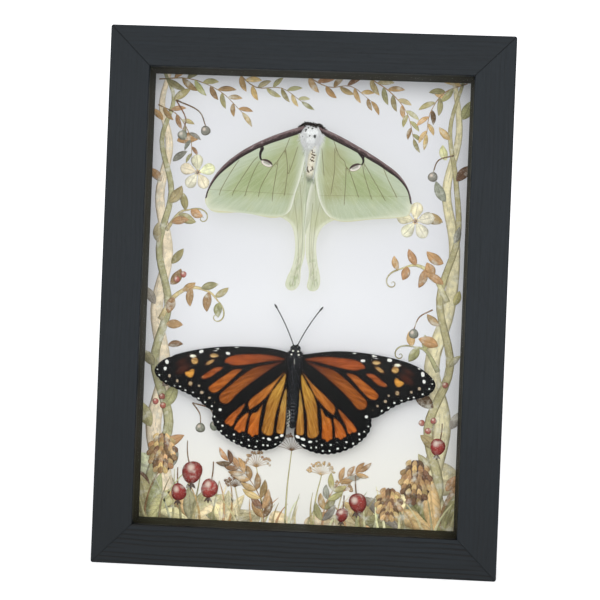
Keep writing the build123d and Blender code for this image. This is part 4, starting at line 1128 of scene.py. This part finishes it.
def disc(made, spot, radius, tint, chance, flat=1.0, wobble=0.04, spread=0.08, sides=18):
    depth = layerOver([spot], [radius])
    new = bmesh.ops.create_circle(made, cap_ends=True, cap_tris=True, segments=sides, radius=1)["verts"]
    places, phase, tilt = {}, chance.uniform(0, 6), chance.uniform(-0.4, 0.4)
    for vert in new:
        u, v = vert.co.x, vert.co.y
        places[vert] = (u, v)
        reach = radius * (1 + wobble * math.sin(3 * math.atan2(v, u) + phase)) if u or v else 0
        x = spot[0] + reach * (u * math.cos(tilt) - v * flat * math.sin(tilt))
        z = spot[1] + reach * (u * math.sin(tilt) + v * flat * math.cos(tilt))
        vert.co = onPaper(x, z, depth)
    inked(made, new, places, tint, spread, chance)


def taper(wide, narrow):  # half width of a stem from its foot to its end
    return lambda s: (wide + (narrow - wide) * s) / 2


def leafShape(half, fullness=0.8, early=0.9):  # half width of a leaf from its stalk to its point
    return lambda s: half * math.sin(math.pi * min(1, s ** early)) ** fullness


def headed(start, angle, length, bend):  # a bent line from a point, as five points
    points, heading = [start], angle
    for _ in range(4):
        heading += bend / 4
        x, z = points[-1]
        points.append((x + length / 4 * math.cos(heading), z + length / 4 * math.sin(heading)))
    return points


def leaf(start, angle, length, half, tint, chance, bend=None, fullness=0.8, early=0.9):
    bend = chance.uniform(-0.7, 0.7) if bend is None else bend
    shape = leafShape(half, fullness, early)
    strip(leaves, headed(start, angle, length, bend), shape, tint, chance, steps=3, spread=0.14)


def spray(spine, count, length, half, tints, chance, stalk="tan", thick=0.5, spreadAngle=0.9, pairs=False):
    strip(stems, spine, taper(thick, thick * 0.4), stalk, chance)
    course = smoothLine(spine, 12)
    for i in range(count):
        at = int((0.1 + 0.88 * i / max(1, count - 1)) * (len(course) - 2))
        run = course[at + 1] - course[at]
        heading = math.atan2(run[1], run[0])
        fade = 1 - 0.35 * i / count
        for side in ((1, -1) if pairs else (1 if i % 2 else -1,)):
            angle = heading + side * spreadAngle * chance.uniform(0.8, 1.15)
            reach = length * fade * chance.uniform(0.85, 1.1)
            leaf(tuple(course[at]), angle, reach, half * fade, chance.choice(tints), chance, bend=-side * 0.5)
    leaf(tuple(course[-1]), heading, length * 0.8, half * 0.7, chance.choice(tints), chance)


def tendril(start, angle, size, turn, tint, chance):  # a thin stem that curls up at its end
    points, heading, x, z = [], angle, *start
    for i in range(16):
        points.append((x, z))
        heading += turn * (0.12 + 0.055 * i)
        pace = size * (1 - i / 19)
        x, z = x + pace * math.cos(heading), z + pace * math.sin(heading)
    strip(stems, points, taper(0.7, 0.22), tint, chance, steps=2)


def cone(spot, height, half, chance):  # a seed cone of overlapping scales, hanging or lying
    rows = 9
    strip(leaves, [(spot[0], spot[1] - height * 0.5), (spot[0] + 0.3, spot[1]), (spot[0], spot[1] + height * 0.5)],
          lambda s: half * math.sin(math.pi * (0.08 + 0.88 * s)) ** 0.7, "dark", chance, steps=5)
    for row in range(rows):
        share = row / (rows - 1)
        wide = half * math.sin(math.pi * (0.12 + 0.8 * share)) ** 0.7
        count = 3 + round(3 * math.sin(math.pi * share))
        for i in range(count):
            across = (i + 0.5 + 0.5 * (row % 2) - 0.25) / count * 2 - 1
            x, z = spot[0] + across * wide * 0.9, spot[1] + height * (0.44 - 0.86 * share)
            tint = chance.choice(("tan", "umber", "ochre"))
            leaf((x, z + 1.1), across * 0.7 - math.pi / 2, 3.0, 1.05, tint, chance, bend=0, fullness=0.5, early=1.3)


def hips(spots, chance):  # round red fruit on stalks
    for x, z, radius, lean in spots:
        stalk = headed((x, z), math.pi / 2 + lean, radius * 3.2, -lean)
        strip(stems, stalk, taper(0.6, 0.4), "umber", chance)
        disc(fruit, (x, z), radius, "red", chance, flat=1.15)
        for side in (-1, 0, 1):
            tip = (x - radius * 0.1, z - radius * 1.05)
            leaf(tip, side * 0.7 - math.pi / 2, radius * 0.75, radius * 0.14, "dark", chance, bend=0)


def around(spot, angle, reach):  # a place at some distance and direction from a spot
    return spot[0] + reach * math.cos(angle), spot[1] + reach * math.sin(angle)


def blossom(spot, size, chance):  # five broad petals about a small eye
    for i in range(5):
        angle = math.radians(72 * i + 18)
        petal = headed(around(spot, angle, 0.6), angle, size, chance.uniform(-.2, .2))
        strip(leaves, petal, lambda s: size * 0.36 * math.sin(math.pi * s ** 1.5 * 0.97) ** 0.6, "cream", chance,
              steps=3, spread=0.05)
    for i in range(7):
        disc(fruit, around(spot, 0.9 * i, 0.9), 0.34, "ochre", chance, sides=8)
    disc(fruit, spot, 0.6, "umber", chance, sides=10)


def umbel(foot, height, lean, size, tint, chance):  # a seed head: a stalk, rays and a dot on each
    top = (foot[0] + lean, foot[1] + height)
    strip(stems, [foot, (foot[0] + lean * 0.2, foot[1] + height * 0.5), top], taper(0.8, 0.35), "moss", chance)
    for i in range(11):
        angle = math.pi / 2 + (i - 5) * 0.26
        end = around(top, angle, size * chance.uniform(0.8, 1.05))
        ray = [top, ((top[0] + end[0]) / 2, (top[1] + end[1]) / 2 + 0.3), end]
        strip(stems, ray, taper(0.22, 0.16), tint, chance, across=1, steps=3)
        for _ in range(3):
            spot = (end[0] + chance.uniform(-.7, .7), end[1] + chance.uniform(-.4, .8))
            disc(fruit, spot, chance.uniform(0.35, 0.6), tint, chance, sides=8)


def broadClump(foot, count, length, half, tints, chance, fan=1.1):  # wide leaves rising from one place
    for i in range(count):
        angle = math.pi / 2 + fan * (1 - 2 * (i + 0.5) / count) + chance.uniform(-.1, .1)
        root = (foot[0] + chance.uniform(-2, 2), foot[1])
        tall, wide = length * chance.uniform(0.75, 1.1), half * chance.uniform(0.8, 1.15)
        leaf(root, angle, tall, wide, chance.choice(tints), chance, bend=(angle - math.pi / 2) * 0.6, early=0.8)


chance = random.Random(5)

for x, z, radius in ((-55, 20, 9), (-44, 17, 9), (-33, 16, 7), (-20, 15, 6), (-6, 15, 5), (10, 15, 6), (24, 16, 8),
                     (37, 18, 10), (50, 21, 11), (57, 34, 8), (-58, 34, 7), (47, 34, 7)):
    disc(leaves, (x, z), radius, chance.choice(("straw", "pale", "straw")), chance, flat=0.8, wobble=0.12, sides=28)

# Twining stems, the left pair and the right pair wound differently
for spine, wide, narrow, tint, across in (
        ([(-50, 13.5), (-52, 30), (-57, 50), (-53.5, 72), (-57.5, 96), (-54, 118), (-58, 140), (-55, 160),
          (-58.5, 176), (-56, 189)], 7.4, 1.8, "pale", 6),
        ([(-59, 13.5), (-57, 32), (-51, 52), (-57.5, 76), (-53, 98), (-57.5, 120), (-53.5, 142), (-58, 162),
          (-54, 178), (-58, 189)], 4.6, 1.2, "moss", 4),
        ([(58, 13.5), (52, 32), (55.5, 56), (50.5, 78), (56, 100), (57.5, 124), (53.5, 146), (57.5, 168), (55, 189)],
         8.4, 1.8, "pale", 6),
        ([(47, 13.5), (55, 30), (50, 54), (57.5, 78), (52.5, 104), (58.5, 128), (57, 150), (54, 170), (58.5, 189)],
         4.4, 1.2, "moss", 4)):
    strip(stems, spine, taper(wide, narrow), tint, chance, across=across, steps=6)

# Arms that reach in from the sides
for spine, wide in (([(-56, 92), (-51, 101), (-44, 105), (-37, 103.5), (-33, 99.5)], 2.2),
                    ([(55.5, 103), (50, 113), (43, 117), (36, 115)], 2.4),
                    ([(-55, 127), (-50, 134), (-45.5, 135.5)], 1.6), ([(53, 76), (48, 84), (42.5, 85.5)], 2.0)):
    strip(stems, spine, taper(wide, 0.5), "moss", chance, across=3)
    x, z = spine[-1]
    inward = 1 if x < 0 else -1
    heading = math.atan2(z - spine[-2][1], x - spine[-2][0])
    tendril((x, z), heading, 1.5, -inward, "olive", chance)
    for i, (stepX, stepZ) in enumerate(smoothLine(spine, 2)[2:]):
        leaf((stepX, stepZ), heading + (1.25 if i % 2 else -1.2), chance.uniform(5, 8), chance.uniform(1.3, 2.0),
             chance.choice(("ochre", "tan", "olive", "tan")), chance)

# Leaves up both sides
for side, marks in ((-1, range(26, 186, 8)), (1, range(30, 186, 8))):
    for i, height in enumerate(marks):
        inwards = i % 3 != 0
        x = side * (chance.uniform(51.5, 54.5) if inwards else chance.uniform(57, 59))
        swing = chance.uniform(-.35, .35)
        angle = math.pi / 2 + side + swing if inwards else math.pi / 2 - side * 0.5
        size = chance.uniform(6.5, 10) * (1.15 if height < 70 else 0.9)
        leaf((x, height), angle, size, size * chance.uniform(0.19, 0.27),
             chance.choice(("olive", "ochre", "tan", "umber", "grey", "moss")), chance)

# Sprays that hang from the top
for spine, count, length, tints in (
        ([(-60, 186), (-48, 186.5), (-36, 182), (-27, 174)], 12, 8.5, ("ochre", "olive", "tan")),
        ([(-30, 190), (-22, 184), (-12, 184), (-4, 179)], 10, 7.5, ("olive", "moss", "ochre")),
        ([(-4, 190), (6, 185), (15, 185.5), (23, 180)], 9, 8, ("ochre", "tan", "umber")),
        ([(20, 190), (30, 184), (37, 176), (40, 166)], 12, 7.5, ("olive", "tan", "moss")),
        ([(60, 188), (51, 184), (46, 176), (45, 168)], 9, 8, ("ochre", "umber", "olive")),
        ([(-60, 176), (-52, 172), (-47, 164), (-46, 156)], 9, 6.5, ("tan", "olive", "grey"))):
    spray(spine, count, length, length * 0.16, tints, chance)

# Sloes on thin twigs
for spine in ([(-53, 178), (-49, 171), (-50, 166)], [(-53, 178), (-44, 174), (-41, 168)],
              [(50, 100), (45, 97), (43, 92)], [(56, 160), (50, 158), (48, 153)],
              [(-42, 60), (-39, 56), (-38.5, 52)], [(-42, 60), (-35, 58), (-33, 53)]):
    strip(stems, spine, taper(0.6, 0.4), "umber", chance)
    disc(fruit, (spine[-1][0], spine[-1][1] - 1.6), 1.9, "grey", chance)

# The ground: clumps, blades, seed heads, cones and hips
for foot, count, length, half, tints in (
        ((-56, 14), 6, 22, 3.6, ("olive", "grey", "moss")), ((-40, 14), 6, 17, 3.2, ("moss", "ochre", "straw")),
        ((-27, 13.5), 5, 13, 2.4, ("olive", "straw", "moss")), ((28, 13.5), 6, 15, 2.8, ("olive", "moss", "ochre")),
        ((42, 14), 7, 20, 3.6, ("grey", "olive", "straw")), ((56, 14), 6, 26, 4.0, ("ochre", "olive", "tan"))):
    broadClump(foot, count, length, half, tints, chance)
for i in range(46):
    x = -60 + 120 * i / 45 + chance.uniform(-1.5, 1.5)
    tall = 8 + 13 * (abs(x) / 60) ** 1.5 * chance.uniform(0.6, 1.3) + chance.uniform(0, 6)
    blade = headed((x, ink["ground"]), math.pi / 2 + chance.uniform(-.35, .35), tall, chance.uniform(-.9, .9))
    tint = chance.choice(("moss", "olive", "pale", "tan", "straw"))
    strip(leaves, blade, taper(1.1, 0.15), tint, chance, steps=2, spread=0.14)
for x, tall, lean, size, tint in ((-13, 22, -3, 5.5, "tan"), (-4, 29, 1.5, 6.5, "umber"), (7, 20, 2.5, 5, "ochre"),
                                  (16, 14, 2, 4, "tan"), (-22, 14, -2, 4, "umber")):
    umbel((x, 14), tall, lean, size, tint, chance)
spray([(-12, 14), (-14, 24), (-20, 33), (-27, 38)], 8, 8, 1.5, ("tan", "umber", "ochre"), chance, pairs=True)
spray([(10, 14), (12, 24), (17, 32), (24, 36)], 7, 7.5, 1.4, ("olive", "grey", "tan"), chance, pairs=True)
for spot, height, half in (((-53, 40), 15, 5.0), ((46, 33), 17, 5.6), ((36, 24), 12, 4.2)):
    cone(spot, height, half, chance)
hips([(-41, 33, 3.9, .5), (-34, 27, 3.3, -.3), (-46, 25, 3.0, .2), (24, 24, 3.4, .3), (54, 47, 2.9, -.4),
      (18, 19, 2.4, -.2)], chance)
for x, z in ((50, 53), (47.5, 56), (52, 57), (-54, 62), (-56.5, 60), (-53.5, 58.5), (56, 71), (-50, 108),
             (-47.5, 110)):
    disc(fruit, (x, z), 1.25, "rose", chance, sides=12)
blossom((-43.5, 150), 6.4, chance)
blossom((42, 134), 6.8, chance)


def washOfInk(name, kind):  # watercolour: pooled edges, cloudy wash, and the markings of its kind
    wash = Finish(name)
    along, side = wash.mapped("shape")
    tint = wash.attribute("tint", "Color")
    cloud = wash.noise(wash.place, 420, 4, 0.6)
    mottle = wash.noise(wash.place, 1500, 3, 0.6)
    lighter, darker = [wash.times(tint, shade) for shade in ((1.5, 1.5, 1.55), (0.42, 0.38, 0.36))]
    colour = wash.mix(cloud.rise(0.36, 0.62) * 0.7, tint, lighter)
    if kind == "leaf":
        ribs = ((along * 8.5 + abs(side) * 1.5) * (2 * math.pi)).sine().rise(0.82, 0.99) * 0.35
        marks = abs(side + (cloud - 0.5) * 0.2).rise(0.16, 0.05) * 0.5 + ribs + abs(side).rise(0.72, 1.0) * 0.4
        marks = marks + (side.rise(0.0, 0.5) * cloud.rise(0.55, 0.4)) * 0.3
    elif kind == "bark":
        strand = wash.drawn((along, side), (26.0, 2.6), 4, 0.7)
        marks = strand.rise(0.5, 0.66) * 0.6 + abs(side).rise(0.55, 1.0) * 0.6 + side.rise(0.2, 0.9) * 0.2
    else:
        glint = wash.length(along + 0.3, side - 0.35).rise(0.55, 0.1)
        colour = wash.mix(glint * 0.8, colour, tone(232, 214, 200))
        marks = wash.length(along, side).rise(0.55, 1.0) * 0.75
    colour = wash.mix(marks * (cloud * 0.9 + 0.35), colour, darker)
    bare = wash.noise(wash.place, 230, 4, 0.62).rise(0.5, 0.72)
    colour = wash.mix(bare * 0.7, colour, tone(230, 227, 214))
    colour = wash.mix(mottle.rise(0.56, 0.72) * 0.3, colour, tone(232, 230, 222))
    return wash.matt(colour, mottle, rough=0.8, spread=0.1, strength=0.2, depth=0.02, shine=0.2)


for name, made, kind in (("print_stems", stems, "bark"), ("print_leaves", leaves, "leaf"),
                         ("print_fruit", fruit, "fruit")):
    piece = finished(name, made, washOfInk("ink" + kind.title(), kind), "printed_paper", smooth=10)
    film = piece.modifiers.new("film", "SOLIDIFY")
    film.thickness, film.offset = ink["film"] * mm, -1
print("printed border finished:", len(printed), "places")


studio = {
    "floorTone": tone(250, 250, 251), "glow": 0.6, "world": (0.95, 0.97, 1.0, 1), "worldStrength": 0.40,
    "floorReach": 1.6, "wallBehind": 0.7, "wallHeight": 1.6, "wallCurve": 0.35, "curveSteps": 12,
}

room = bmesh.new()
bmesh.ops.create_grid(room, x_segments=1, y_segments=1, size=studio["floorReach"])
bmesh.ops.translate(room, verts=room.verts, vec=(0, studio["wallBehind"] - studio["floorReach"], 0))
backEdge = max(room.edges, key=lambda e: sum(v.co.y for v in e.verts))
raised = bmesh.ops.extrude_edge_only(room, edges=[backEdge])["geom"]
wallTop = [part for part in raised if isinstance(part, bmesh.types.BMVert)]
bmesh.ops.translate(room, verts=wallTop, vec=(0, 0, studio["wallHeight"]))
bmesh.ops.bevel(room, geom=[backEdge], offset=studio["wallCurve"], offset_type="OFFSET", segments=studio["curveSteps"],
                profile=0.5, affect="EDGES", material=-1)
floorMesh = bpy.data.meshes.new("studio_floor")
room.to_mesh(floorMesh)
room.free()
floorFinish = Finish("studioFloor")
floorGrain = floorFinish.noise(floorFinish.place, 6, 2)
floorMesh.materials.append(floorFinish.coat({
    "Base Color": floorFinish.mix(floorGrain * 0.4, studio["floorTone"], tone(252, 252, 252)), "Roughness": 0.9,
    "Emission Color": (1, 1, 1, 1), "Emission Strength": studio["glow"]}))
floor = bpy.data.objects.new("studio_floor", floorMesh)
floor.visible_diffuse = False  # the pale floor throws no light up at the case
bpy.context.scene.collection.objects.link(floor)

world = bpy.data.worlds.new("softRoom")
bpy.context.scene.world = world
world.use_nodes = True
sky = world.node_tree.nodes["Background"]
sky.inputs["Color"].default_value = studio["world"]
sky.inputs["Strength"].default_value = studio["worldStrength"]

lamps = {  # place, aim, width, height, power, colour
    "frontBox": ((0.04, -1.30, 0.36), (0, 0, 0.10), 1.1, 0.8, 9.6, (1.0, 0.99, 0.985)),
    "lowBox": ((0.02, -1.25, 0.06), (0, 0, 0.10), 1.1, 0.12, 1.7, (1.0, 0.99, 0.985)),
    "overheadBox": ((-0.12, -0.85, 0.80), (0, 0, 0.10), 1.1, 0.5, 1.5, (1.0, 0.985, 0.975)),
    "leftBox": ((-0.66, -0.85, 0.20), (0, 0, 0.10), 0.6, 0.5, 1.5, (1.0, 0.985, 0.98)),
    "rightBox": ((0.68, -0.85, 0.20), (0, 0, 0.10), 0.6, 0.5, 1.1, (1.0, 0.985, 0.99)),
}
for lampName, (spot, aim, width, height, power, colour) in lamps.items():
    lamp = bpy.data.lights.new(lampName, "AREA")
    lamp.shape, lamp.size, lamp.size_y, lamp.energy, lamp.color = "RECTANGLE", width, height, power, colour
    holder = bpy.data.objects.new(lampName, lamp)
    holder.location = spot
    holder.rotation_euler = (Vector(aim) - Vector(spot)).to_track_quat("-Z", "Y").to_euler()
    bpy.context.scene.collection.objects.link(holder)

view = {"place": (0.01499, -0.42348, 0.10228), "ahead": (-0.03863, 0.99925, -0.00115),
        "up": (-0.03941, -0.00037, 0.99922), "lens": 66.0, "sensor": 36.0}
ahead = Vector(view["ahead"]).normalized()
right = ahead.cross(Vector(view["up"])).normalized()
turned = Matrix((right, right.cross(ahead), -ahead)).transposed().to_4x4()
eye = bpy.data.cameras.new("photoCamera")
eye.lens, eye.sensor_width = view["lens"], view["sensor"]
eye.clip_start, eye.clip_end = 0.01, 20
camera = bpy.data.objects.new("photoCamera", eye)
camera.matrix_world = Matrix.Translation(view["place"]) @ turned
bpy.context.scene.collection.objects.link(camera)
bpy.context.scene.camera = camera
bpy.context.scene.view_settings.view_transform = "Standard"
print("studio ready")
